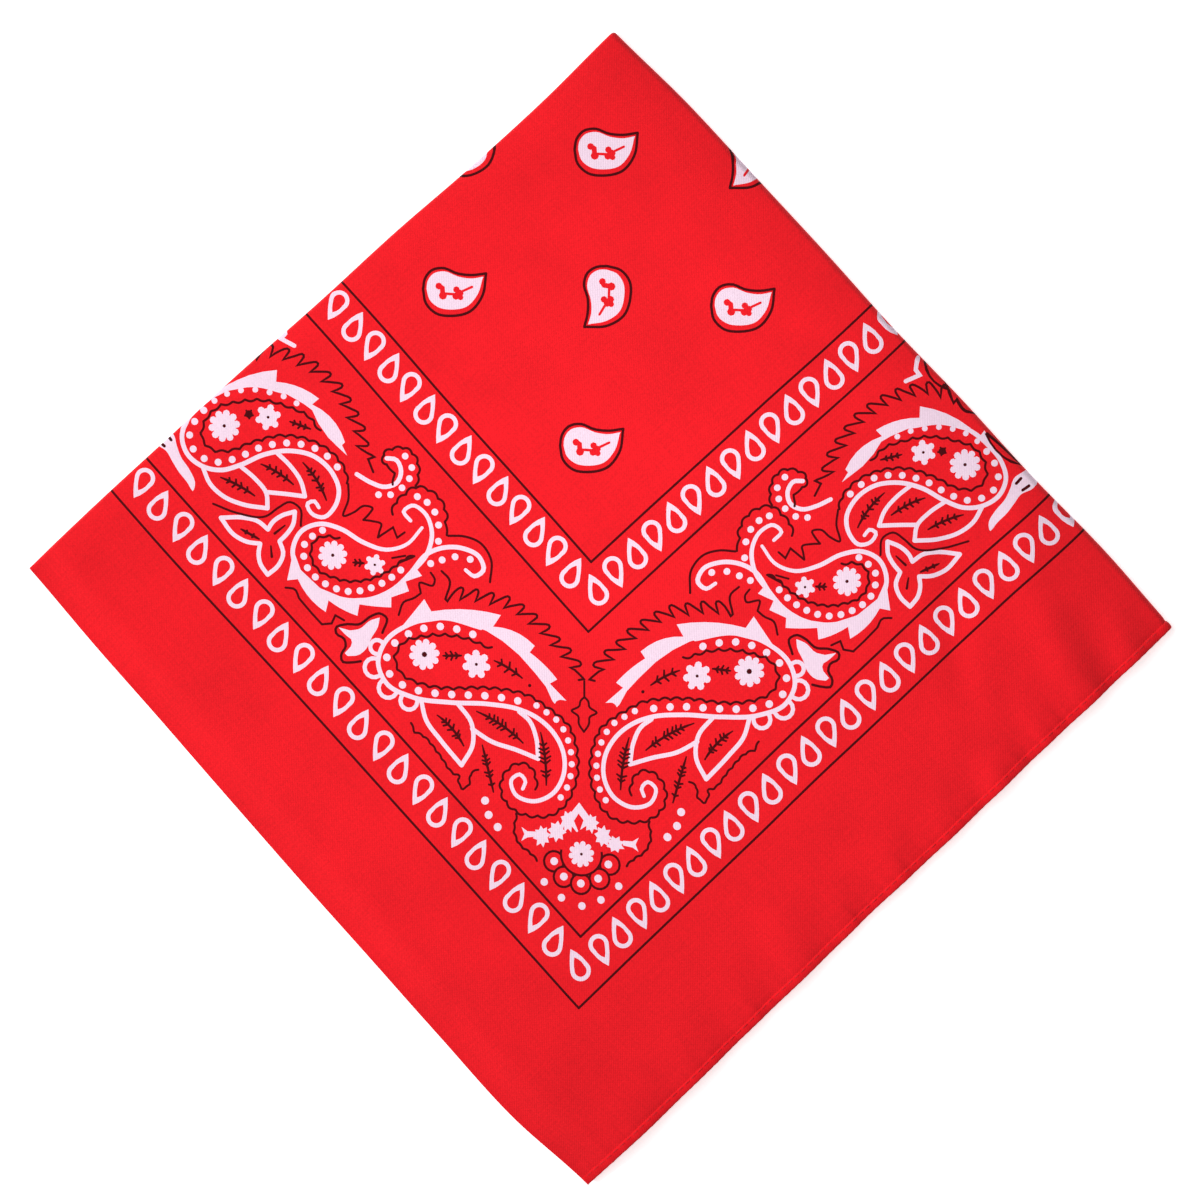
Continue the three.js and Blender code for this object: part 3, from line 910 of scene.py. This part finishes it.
def fan_flower(ink):
    """The fan's flower, and the white dots in its discs and below them."""
    flower(ink, FAN, 4.5, 10, 0.5)
    for turn in (17, 53, 90, 127, 163):
        place = np.array([math.cos(math.radians(turn)), math.sin(math.radians(turn))])
        ink.disc(WHITE, FAN + place * 9.9, 1.35)
    ink.disc(WHITE, (-0.3, 297.4), 1.3)


def diagonal_bud(ink):
    """The thin outlined bud between the two large paisleys."""
    ink.stroke(DARK, [(0.8, 220.6), (0.6, 226.2)], FINE_LINE)
    ink.line([
        (0.6, 226), (1.9, 227.4), (2.3, 229.2), (4.9, 230.9), (2.5, 232.8), (2.3, 235.2), (0.4, 238),
    ], step=0.6)
    ink.line([
        (0.6, 226), (-0.8, 227.4), (-1.2, 229.2), (-3.9, 231.2), (-1.5, 232.8), (-1.3, 235.2), (0.4, 238),
    ], step=0.6)


def corner_middle():
    """What stands on the diagonal itself."""
    ink = Ink()
    fan_frame(ink)
    crown(ink)
    fan_flower(ink)
    diagonal_bud(ink)
    return ink


# The rows of drops on each side: distance from the fold, the first one's place along, the
# pitch, how many, and whether their tips point outwards
DROPS = {
    "left": (
        (135, 6.3, 18.27, 7, True),
        (134, 17, 18.27, 7, False),
        (225, 6.8, 19.55, 11, True),
        (224.2, 17.5, 19.58, 11, False),
    ),
    "right": (
        (136, -3, 18, 8, True),
        (134.8, 7.1, 18, 8, False),
        (226, -2.6, 18.1, 13, True),
        (224.9, 7.7, 18.13, 12, False),
        (223, 225.2, 1, 1, False),
    ),
}

# The small paisleys of the middle: place, how far the tip is turned, and mirrored or not
SMALL = (
    ((1.4, 42.4), 0, False),
    ((50.4, 93.2), 0, False),
    ((-1.5, 91), -90, True),
    ((-47, 92.6), 0, False),
    ((1.8, 142.6), 0, False),
    ((-48.7, 41.4), -90, True),
    ((46.4, 42.4), -90, True),
    ((2, -6.6), 0, False),
)


def left_side(p):
    """Places on the diagonal's left, from (along the side, distance from the fold)."""
    return np.stack([(p[:, 1] - p[:, 0]) / ROOT_TWO, (p[:, 1] + p[:, 0]) / ROOT_TWO], 1)


def mirrored(p):
    return p * [-1, 1]


def right_side(p):
    return mirrored(left_side(p))


def draw_border(ink):
    """The four lines and the rows of drops along both sides."""
    for distance in LINES:
        for to_place in (left_side, right_side):
            along = np.linspace(-4, distance, round(distance / GRID))
            line = np.array([(t, distance) for t in along])
            ink.stroke(DARK, to_place(line), DARK_LINE, caps=False)
        ink.disc(DARK, (0, distance * ROOT_TWO), 0.45, 8)
    for side, to_place in (("left", left_side), ("right", right_side)):
        for cross, first, pitch, count, tip_out in DROPS[side]:
            for k in range(count):
                drop(ink, first + k * pitch, cross, tip_out, to_place)


def whole_print():
    """The print of one quarter, and a little past its folds."""
    ink = Ink()
    draw_border(ink)
    for draw in (fan_half, upper_paisley, three_leaves, small_curl, middle_paisley, corner_paisley):
        half = draw()
        ink.place(half)
        ink.place(half, mirrored)
    ink.place(corner_middle())
    motif = small_paisley()
    for place, turn, flipped in SMALL:
        a = math.radians(turn)
        spin = np.array([[math.cos(a), math.sin(a)], [-math.sin(a), math.cos(a)]])
        flip = [1, -1] if flipped else [1, 1]
        for colour, outline in motif.shapes:
            ink.fill(colour, np.array(place) - (outline * flip) @ spin)
    return ink


def print_drift(p, q):
    """How far the print lies from its true place on the cloth, by distance from the folds,
    as the photograph has it: from the inner lines' shift to the outer lines' on each side."""
    inner_p = 0.7 + 1.3 * smooth(q / 60) + 0.6 * smooth((q - 140) / 50)
    outer_p = 1.6 - 2.2 * smooth(q / 150)
    inner_q = -0.8 - 1.2 * smooth(p / 50)
    outer_q = -3.4 - 1.1 * smooth(p / 35) + 0.6 * smooth((p - 110) / 40)
    share_p, share_q = smooth((p - 136) / 85), smooth((q - 136) / 75)
    return inner_p + (outer_p - inner_p) * share_p, inner_q + (outer_q - inner_q) * share_q


def to_cloth(places):
    """From print places to cloth (u, v)."""
    p, q = (places[:, 1] + places[:, 0]) / ROOT_TWO, (places[:, 1] - places[:, 0]) / ROOT_TWO
    move_p, move_q = print_drift(p, q)
    return np.stack([p + move_p, q + move_q], 1)


# Meshes


def steps(start, end, near, step):
    """Even steps between two ends, with set distances in from each end."""
    a, b = start + near[-1], end - near[-1]
    count = max(1, round((b - a) / step))
    between = [a + (b - a) * k / count for k in range(1, count)]
    return np.array([*(start + d for d in near), *between, *(end - d for d in reversed(near))])


def sheet_stations(step):
    """Where the cloth is sampled across half of the second fold, and down the cloth."""
    u = np.array([*SECOND_ROLL, *steps(OUTER_REACH, FOLDED_SIDE, [0, 1.6], step)[1:]])
    v = np.array([*FIRST_ROLL, *steps(FIRST_REACH, FOLDED_SIDE - IN_HEM, [0, 1.4], step)[1:]])
    return u, v


def winds_round(outline, places):
    """Which places an outline goes round."""
    a, b = outline, np.roll(outline, -1, axis=0)
    x, y = places[:, :1], places[:, 1:]
    side = (b[:, 0] - a[:, 0]) * (y - a[:, 1]) - (x - a[:, 0]) * (b[:, 1] - a[:, 1])
    up = (a[:, 1] <= y) & (b[:, 1] > y) & (side > 0)
    down = (a[:, 1] > y) & (b[:, 1] <= y) & (side < 0)
    return up.sum(1) != down.sum(1)


def inks_at(places, shapes):
    """The colour of the last shape over each place."""
    order = np.argsort(places[:, 0])
    ranked = places[order]
    inks = np.full(len(places), RED)
    for colour, outline in shapes:
        low, high = outline.min(0), outline.max(0)
        first, last = np.searchsorted(ranked[:, 0], (low[0], high[0]))
        near = np.arange(first, last)
        near = near[(ranked[near, 1] > low[1]) & (ranked[near, 1] < high[1])]
        if len(near):
            inks[order[near[winds_round(outline, ranked[near])]]] = colour
    return inks


def border_points(u, v):
    """The corners of the half cloth's border, in order."""
    points = [(a, v[0]) for a in u] + [(u[-1], b) for b in v[1:]]
    return points + [(a, v[-1]) for a in u[-2::-1]] + [(u[0], b) for b in v[-2:0:-1]]


def ring_of(first, count):
    """Edges round a closed outline whose points are numbered from first."""
    return [(first + i, first + (i + 1) % count) for i in range(count)]


def roll_edges(u, v, count):
    """Rows across the folds' rolls, so that the print bends round them with the cloth."""
    end = len(u) + len(v) - 1
    rows = [(i, end + len(u) - 2 - i) for i in range(1, len(SECOND_ROLL) + 1)]
    return rows + [(count - j, len(u) - 1 + j) for j in range(1, len(FIRST_ROLL) + 1)]


def shapes_on_cloth(ink, u, v):
    """The drawing's shapes in cloth places, but for those that miss the half cloth."""
    lowest = v[0] + 0.4
    shapes = []
    for colour, outline in ink.shapes:
        uv = to_cloth(outline)
        low, high = uv.min(0), uv.max(0)
        if high[0] >= 0 and high[1] >= lowest and low[0] <= u[-1] and low[1] <= v[-1]:
            uv[:, 1] = np.maximum(uv[:, 1], lowest)
            shapes.append((colour, uv))
    return shapes


def free_grid(u, v, drawn):
    """The grid's inner points that lie clear of the drawing's own points."""
    cell = GRID * CLEAR
    busy = set(map(tuple, np.floor(drawn / cell).astype(int)))
    inner = [(a, b) for a in u[1:-1] for b in v[1:-1]]
    return [(a, b) for a, b in inner if (math.floor(a / cell), math.floor(b / cell)) not in busy]


def triangulated(points, edges):
    """Triangles over the points, cut along the edges, with the seam's points right on it."""
    out, _, tris, *_ = delaunay_2d_cdt([Vector(p) for p in points], edges, [], 0, 1e-3, False)
    out = np.array([tuple(p) for p in out])
    out[np.abs(out[:, 0]) < SEAM, 0] = 0
    return out, np.array(tris)


def printed_half(ink):
    """Triangles of the cloth for u from 0 up, each in its ink: points, faces and colours."""
    u, v = sheet_stations(GRID)
    border = border_points(u, v)
    points = list(border)
    edges = ring_of(0, len(border)) + roll_edges(u, v, len(border))
    shapes = shapes_on_cloth(ink, u, v)
    for _, outline in shapes:
        edges += ring_of(len(points), len(outline))
        points += [tuple(p) for p in outline]
    points += free_grid(u, v, np.array(points[len(border):]))
    points, tris = triangulated(points, edges)
    middle = points[tris].mean(1)
    inside = (middle > (0, v[0])).all(1) & (middle < (u[-1], v[-1])).all(1)
    return points, tris[inside], inks_at(middle[inside], shapes), border


def plain_half(border):
    """The same stretch of cloth with no print, from the same border."""
    u, v = sheet_stations(BACK_GRID)
    inner = [(a, b) for a in u[1:-1] for b in v[1:-1]]
    return triangulated([*border, *inner], ring_of(0, len(border)))


def both_halves(points, tris):
    """The half and its mirror image across u = 0, joined along it."""
    used, flat = np.unique(tris, return_inverse=True)
    points, tris = points[used], flat.reshape(-1, 3)
    seam = np.abs(points[:, 0]) < SEAM
    points[seam, 0] = 0
    other = np.where(seam, np.arange(len(points)), 0)
    other[~seam] = len(points) + np.arange((~seam).sum())
    return np.vstack([points, mirrored(points[~seam])]), np.vstack([tris, other[tris][:, ::-1]])


def rim_of(tris):
    """The directed border edges of a set of triangles."""
    edges = np.vstack([tris[:, [0, 1]], tris[:, [1, 2]], tris[:, [2, 0]]])
    there = set(map(tuple, edges.tolist()))
    return [(a, b) for a, b in there if (b, a) not in there]


def make_mesh(name, points, faces, materials, face_inks=None, normals=None, uv=None):
    mesh = bpy.data.meshes.new(name)
    mesh.from_pydata((points * MM).tolist(), [], [list(map(int, f)) for f in faces])
    for material in materials:
        mesh.materials.append(material)
    if face_inks is not None:
        mesh.polygons.foreach_set("material_index", np.asarray(face_inks, np.int32))
    mesh.polygons.foreach_set("use_smooth", [True] * len(mesh.polygons))
    layer = mesh.uv_layers.new(name="cloth")
    if uv is not None:
        corners = np.zeros(len(mesh.loops), np.int32)
        mesh.loops.foreach_get("vertex_index", corners)
        layer.data.foreach_set("uv", (uv[corners] * MM).astype(np.float32).ravel())
    mesh.update()
    if normals is not None:
        mesh.normals_split_custom_set_from_vertices([tuple(n) for n in normals])
    return shown(name, mesh)


def shown(name, data):
    """An object in the scene, from a mesh, a light or a camera."""
    made = bpy.data.objects.new(name, data)
    bpy.context.scene.collection.objects.link(made)
    return made


def surface_normals(surface, uv, inset, up):
    """Normals of a cloth surface from small steps along it, up or down (-1) on the top layer."""
    h = 0.04
    u, v = uv[:, 0], uv[:, 1]
    du = surface(u + h, v, inset) - surface(u - h, v, inset)
    dv = surface(u, v + h, inset) - surface(u, v - h, inset)
    normal = np.cross(du, dv)
    normal = normal / np.maximum(np.linalg.norm(normal, axis=1, keepdims=True), 1e-12)
    return normal if normal[u > WELL_ON_TOP][:, 2].mean() * up > 0 else -normal


def turned_over(points, uv, tris, up):
    """The triangles, the other way round unless those of the top layer face up or down (-1)."""
    a, b, c = (points[tris[:, i]] for i in range(3))
    on_top = uv[tris].mean(1)[:, 0] > WELL_ON_TOP
    return tris if np.cross(b - a, c - a)[on_top][:, 2].mean() * up > 0 else tris[:, ::-1]


def spot(place):
    """A place by its rounded coordinates, to find it again."""
    return round(float(place[0]), 3), round(float(place[1]), 3)


def shell(name, surface, face_part, back_part, materials, shift):
    """A thin closed cloth from its face's and its back's triangles, with a rim between."""
    (face_uv, face_tris, inks), (back_uv, back_tris) = face_part, back_part
    face = surface(face_uv[:, 0], face_uv[:, 1], 0)
    back = surface(back_uv[:, 0], back_uv[:, 1], CLOTH)
    face_tris = turned_over(face, face_uv, face_tris, 1)
    back_tris = turned_over(back, back_uv, back_tris, -1)
    back_at = {spot(p): len(face) + i for i, p in enumerate(back_uv)}
    rim = [(b, a, back_at[spot(face_uv[a])], back_at[spot(face_uv[b])]) for a, b in rim_of(face_tris)]
    faces = [*face_tris.tolist(), *(back_tris + len(face)).tolist(), *rim]
    inks = [*inks, *([RED] * (len(back_tris) + len(rim)))]
    normals = [surface_normals(surface, face_uv, 0, 1), surface_normals(surface, back_uv, CLOTH, -1)]
    points, uv = np.vstack([face, back]) + shift, np.vstack([face_uv, back_uv])
    return make_mesh(name, points, faces, materials, inks, np.vstack(normals), uv)


def grid_part(u, v):
    """Points and triangles of a plain grid."""
    points = np.array([(a, b) for a in u for b in v])
    n = len(v)
    tris = []
    for i in range(len(u) - 1):
        for j in range(n - 1):
            k = i * n + j
            tris += [(k, k + n, k + n + 1), (k, k + n + 1, k + 1)]
    return points, np.array(tris)


def tube_faces(rings, corners, first=0):
    """The faces of a closed tube of rings, with its two ends."""
    faces = []
    for i in range(rings - 1):
        for k in range(corners):
            a, b = first + i * corners + k, first + i * corners + (k + 1) % corners
            faces.append((a, b, b + corners, a + corners))
    faces.append(tuple(first + k for k in reversed(range(corners))))
    faces.append(tuple(first + (rings - 1) * corners + k for k in range(corners)))
    return faces


def hem_point(u, turn, middle_v, from_second, half, uneven, waves):
    """Points round a rolled hem, at a place u on its way round the second fold."""
    round_it = (1 - np.clip(u / OUTER_REACH, -1, 1)) * math.pi / 2
    flat = np.sign(np.cos(turn)) * np.abs(np.cos(turn)) ** 0.8
    thick = np.sign(np.sin(turn)) * np.abs(np.sin(turn)) ** 0.75
    stitched = SEWN["depth"] * np.exp(-(((flat - SEWN["place"]) / SEWN["width"]) ** 2)) * (thick > 0)
    out = half * thick * (1 + uneven) - stitched
    y = middle_v + HEM_WIDTH / 2 * flat * (1 + 0.3 * uneven)
    x = HALF_SIDE - np.maximum(np.abs(u), OUTER_REACH) + (from_second + out) * np.sin(round_it)
    on_top = (round_it < math.pi / 2) * 1.0
    z = MIDDLE_Z + (from_second + out) * np.cos(round_it)
    return lay(x, y, z, on_top, waves * on_top * (1 - np.sin(round_it)))


def rolled_hem(name, material, tuck, from_second, half, waves, shift):
    """A rolled hem as one closed tube round the second fold."""
    top = np.arange(FOLDED_SIDE - tuck, OUTER_REACH, -1.0)
    roll = np.linspace(OUTER_REACH, -OUTER_REACH, 13)
    u = np.array([*top, *roll, *(-top[::-1])])
    turns = np.linspace(0, TAU, 18, endpoint=False)
    uu, tt = np.meshgrid(u, turns, indexing="ij")
    uneven = 0.10 * np.sin(TAU * uu / STITCH["pitch"]) + 0.07 * np.sin(uu / 4.7)
    uneven = uneven + 0.05 * np.sin(uu / 13 + 1)
    half_here = np.where(uu < 0, min(half, HEM_HALF["below"]), half)
    middle = -HALF_SIDE + tuck + HEM_WIDTH / 2
    rings = hem_point(uu, tt, middle, from_second, half_here, uneven, waves)
    uv = np.stack([uu.ravel(), tt.ravel() * HEM_WIDTH / math.pi], 1)
    faces = tube_faces(len(u), len(turns))
    piece = make_mesh(name, rings.reshape(-1, 3) + shift, faces, [material], uv=uv)
    if volume_of(piece.data) < 0:
        piece.data.flip_normals()
    return piece


def volume_of(mesh):
    """Six times the volume that a mesh encloses, negative if its faces look inwards."""
    mesh.calc_loop_triangles()
    total = 0.0
    for t in mesh.loop_triangles:
        a, b, c = (mesh.vertices[i].co for i in t.vertices)
        total += a.dot(b.cross(c))
    return total


def stitch_section(middle, share, size):
    """The points round one section of a stitch, whose middle is this far round the hem."""
    side, seat, raised = (1, 0.62, 1) if middle > 0 else (-1, 0.46, 1 / 3)
    on_top = (side > 0) * 1.0
    turns = np.linspace(0, TAU, 6, endpoint=False)
    lift = STITCH["height"] / 2 * size * np.sin(turns) * raised
    from_second = SECOND_RADIUS + FIRST_RADIUS + seat + lift
    x = np.full(len(turns), HALF_SIDE - abs(middle + STITCH["length"] * share))
    y = -HALF_SIDE + STITCH["from_edge"] + STITCH["width"] / 2 * size * np.cos(turns)
    return lay(x, y, MIDDLE_Z + side * from_second, on_top, on_top)


def stitches(name, material, shift):
    """The hem's sewing: one short raised thread after another along both of its faces."""
    rings, faces = [], []
    reach = FOLDED_SIDE - HEM_WIDTH
    for start in np.arange(-reach, reach, STITCH["pitch"]):
        middle = start + STITCH["length"] / 2
        if abs(middle) > OUTER_REACH + 2:
            made = [stitch_section(middle, share, size) for share, size in STITCH["sections"]]
            faces += tube_faces(len(made), len(made[0]), len(rings) * len(made[0]))
            rings += made
    return make_mesh(name, np.vstack(rings) + shift, faces, [material])


# Materials


def maths(tree, operation, a, b=None):
    """A maths node's result, from numbers or from other nodes' results."""
    made = tree.nodes.new("ShaderNodeMath")
    made.operation = operation
    for slot, value in zip(made.inputs, (a, b)):
        if isinstance(value, (int, float)):
            slot.default_value = value
        elif value is not None:
            tree.links.new(value, slot)
    return made.outputs[0]


def threads(tree, place, stretch_u, stretch_v, scale, detail):
    """Noise over the cloth, drawn out along one of its threads."""
    mapping = tree.nodes.new("ShaderNodeMapping")
    mapping.inputs["Scale"].default_value = (stretch_u, stretch_v, 1)
    tree.links.new(place, mapping.inputs["Vector"])
    noise = tree.nodes.new("ShaderNodeTexNoise")
    noise.inputs["Scale"].default_value = scale
    noise.inputs["Detail"].default_value = detail
    tree.links.new(mapping.outputs[0], noise.inputs["Vector"])
    return noise.outputs["Fac"]


def weave(tree, place):
    """A plain weave, up and down by turns."""
    split = tree.nodes.new("ShaderNodeSeparateXYZ")
    tree.links.new(place, split.inputs[0])
    warp, weft = (
        maths(tree, "SINE", maths(tree, "MULTIPLY", split.outputs[i], math.pi / (THREAD * MM)))
        for i in (0, 1)
    )
    return maths(tree, "MULTIPLY", warp, weft)


def relief(tree, woven, slubs, shader):
    """The low relief of the threads."""
    woven = maths(tree, "MULTIPLY", woven, WEAVE["bump"])
    height = maths(tree, "ADD", woven, maths(tree, "MULTIPLY", slubs, WEAVE["slub"]))
    bump = tree.nodes.new("ShaderNodeBump")
    bump.inputs["Strength"].default_value = WEAVE["strength"]
    bump.inputs["Distance"].default_value = WEAVE["depth"] * MM
    tree.links.new(height, bump.inputs["Height"])
    tree.links.new(bump.outputs[0], shader.inputs["Normal"])


def plain_material(name, **values):
    """A material with some of its shader's values set, and its node tree and shader."""
    material = bpy.data.materials.new(name)
    material.use_nodes = True
    shader = material.node_tree.nodes["Principled BSDF"]
    for key, value in values.items():
        shader.inputs[key.replace("_", " ")].default_value = value
    return material, material.node_tree, shader


def cotton(name, colour, spread, sheen=0.12, roughness=0.9):
    """Plain-woven cotton in one colour, its threads along the cloth. Spread is how uneven
    its colour is, and how deep the painted shade of its weave."""
    material, tree, shader = plain_material(name, Roughness=roughness, Sheen_Weight=sheen,
                                            Sheen_Roughness=0.5, Specular_IOR_Level=0.15)
    mapped = tree.nodes.new("ShaderNodeUVMap")
    mapped.uv_map = "cloth"
    place = mapped.outputs["UV"]
    woven = weave(tree, place)
    slubs = maths(tree, "ADD", *[threads(tree, place, *noise) for noise in SLUBS])
    cloudy = threads(tree, place, *CLOUDS)
    grain = threads(tree, place, *GRAIN)
    relief(tree, woven, slubs, shader)

    # The weave's share lightens its raised crossings and darkens its hollows in the colour: painted shade
    # of the weave's relief
    value = 1
    for part, middle, share in ((slubs, 1, 0.9), (cloudy, 0.5, 1.2), (grain, 0.5, 1.4), (woven, 0, 0.25)):
        change = maths(tree, "MULTIPLY", maths(tree, "SUBTRACT", part, middle), share * spread)
        value = maths(tree, "ADD", value, change)
    tint = tree.nodes.new("ShaderNodeHueSaturation")
    tint.inputs["Color"].default_value = (*colour, 1)
    tree.links.new(value, tint.inputs["Value"])
    tree.links.new(tint.outputs[0], shader.inputs["Base Color"])
    material.diffuse_color = (*colour, 1)
    return material


def plain_floor():
    """The white floor, which glows a little, as the photograph's is cut out."""
    material, _, _ = plain_material("floor_white", Base_Color=(0.95, 0.95, 0.95, 1),
                                    Emission_Color=(1, 1, 1, 1), Emission_Strength=FLOOR_GLOW,
                                    Roughness=0.95, Specular_IOR_Level=0.1)
    mesh = bpy.data.meshes.new("floor")
    corners = [(-1, -1), (1, -1), (1, 1), (-1, 1)]
    mesh.from_pydata([(x * FLOOR_REACH, y * FLOOR_REACH, 0) for x, y in corners], [], [(0, 1, 2, 3)])
    mesh.materials.append(material)
    return shown("floor", mesh)


def camera_over(shift):
    """The camera straight above, its view centred where the photograph's is."""
    camera = shown("camera", bpy.data.cameras.new("camera"))
    camera.data.lens = LENS
    camera.data.sensor_width = SENSOR
    height = PHOTO_WIDTH * LENS / SENSOR + 2 * MIDDLE_Z
    camera.location = (shift[0] * MM, shift[1] * MM, height * MM)
    camera.rotation_euler = (0, 0, math.atan2(PHOTO_RIGHT[1], PHOTO_RIGHT[0]))
    camera.data.clip_start, camera.data.clip_end = 0.05, 20
    bpy.context.scene.camera = camera


def soft_light(name, right, up, height, size, power):
    """A round light, its place given in metres right and up in the photograph, which
    looks at the middle of the floor."""
    light = bpy.data.lights.new(name, "AREA")
    light.shape = "DISK"
    light.size = size
    light.energy = power
    rx, ry = PHOTO_RIGHT
    place = Vector((right * rx - up * ry, right * ry + up * rx, height))
    lamp = shown(name, light)
    lamp.location = place
    lamp.rotation_euler = (-place).to_track_quat("-Z", "Y").to_euler()


def studio():
    """The world's light, the two lamps and the plain view of the colours."""
    scene = bpy.context.scene
    world = bpy.data.worlds.new("studio")
    world.use_nodes = True
    background = world.node_tree.nodes["Background"]
    background.inputs["Color"].default_value = (1, 1, 1, 1)
    background.inputs["Strength"].default_value = WORLD_LIGHT
    scene.world = world
    for light in LIGHTS:
        soft_light(*light)
    scene.view_settings.view_transform = "Standard"
    scene.view_settings.look = "None"
    scene.view_settings.exposure = 0
    scene.view_settings.gamma = 1


def to_origin(face_uv):
    """The shift that brings the middle of the cloth's plan to the origin."""
    outline = outer_cloth(face_uv[:, 0], face_uv[:, 1], 0)
    edge = to_plan(np.linspace(-HALF_SIDE, HALF_SIDE, 200), np.full(200, -HALF_SIDE))
    low = np.minimum(outline.min(0), [*map(np.min, edge), 0])
    high = np.maximum(outline.max(0), [*map(np.max, edge), 0])
    return -(low + high) / 2 * [1, 1, 0]


def hidden_stations():
    """Where the hidden cloth is sampled."""
    u, v = sheet_stations(5)
    reach = FOLDED_SIDE - INNER_TUCK - OUTER_REACH
    v = np.array([2.8, *v[v > 4]])
    return np.array([*u[u <= reach], reach + INNER_REACH["edge"]]), v[v < FOLDED_SIDE - INNER_TUCK - 1]


def build_cloth():
    """The outer cloth with its print, the hidden cloth, and the shift to the origin."""
    printed = [cotton(*look) for look in PRINT_COLOURS]
    points, tris, inks, border = printed_half(whole_print())
    face_uv, face_tris = both_halves(points, tris)
    back = both_halves(*plain_half(border))
    shift = to_origin(face_uv)
    cloth = shell("cloth_outer", outer_cloth, (face_uv, face_tris, np.tile(inks, 2)), back, printed, shift)
    hidden_uv, hidden_tris = both_halves(*grid_part(*hidden_stations()))
    face_part = hidden_uv, hidden_tris, [RED] * len(hidden_tris)
    # The hidden layers' cotton is a darker copy of the face's red: painted shade between the layers
    inner = cotton("inner_cotton_painted_shade", (0.80, 0.008, 0.015), 0.1)
    hidden = shell("cloth_inner", inner_cloth, face_part, (hidden_uv, hidden_tris), [inner], shift)
    return cloth, hidden, shift


def build():
    """Every piece, attached to the root, with the solids that each replaces hidden."""
    cloth, hidden, shift = build_cloth()
    # The hems' cotton is a darker copy of the face's red: painted shade along the rolled hems
    hem = cotton("hem_cotton_painted_shade", (0.86, 0.007, 0.014), 0.11)
    thread = cotton("hem_thread", (0.78, 0.012, 0.02), 0.08, roughness=0.7)
    hem_out = rolled_hem(
        "rolled_hem_outer", hem, 0, SECOND_RADIUS + FIRST_RADIUS, HEM_HALF["outer"], 1, shift
    )
    hem_in = rolled_hem(
        "rolled_hem_inner", hem, INNER_TUCK, SECOND_RADIUS - FIRST_RADIUS, HEM_HALF["inner"], 0, shift
    )
    sewing = stitches("hem_stitches", thread, shift)

    for piece in (cloth, hidden, hem_out, hem_in, sewing):
        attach(piece, "root")
    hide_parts("outer_layer")
    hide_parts("inner_layers")
    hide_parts("hem_outer")
    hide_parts("hem_inner")
    return shift


shift = build()
studio()
camera_over(shift)
plain_floor()
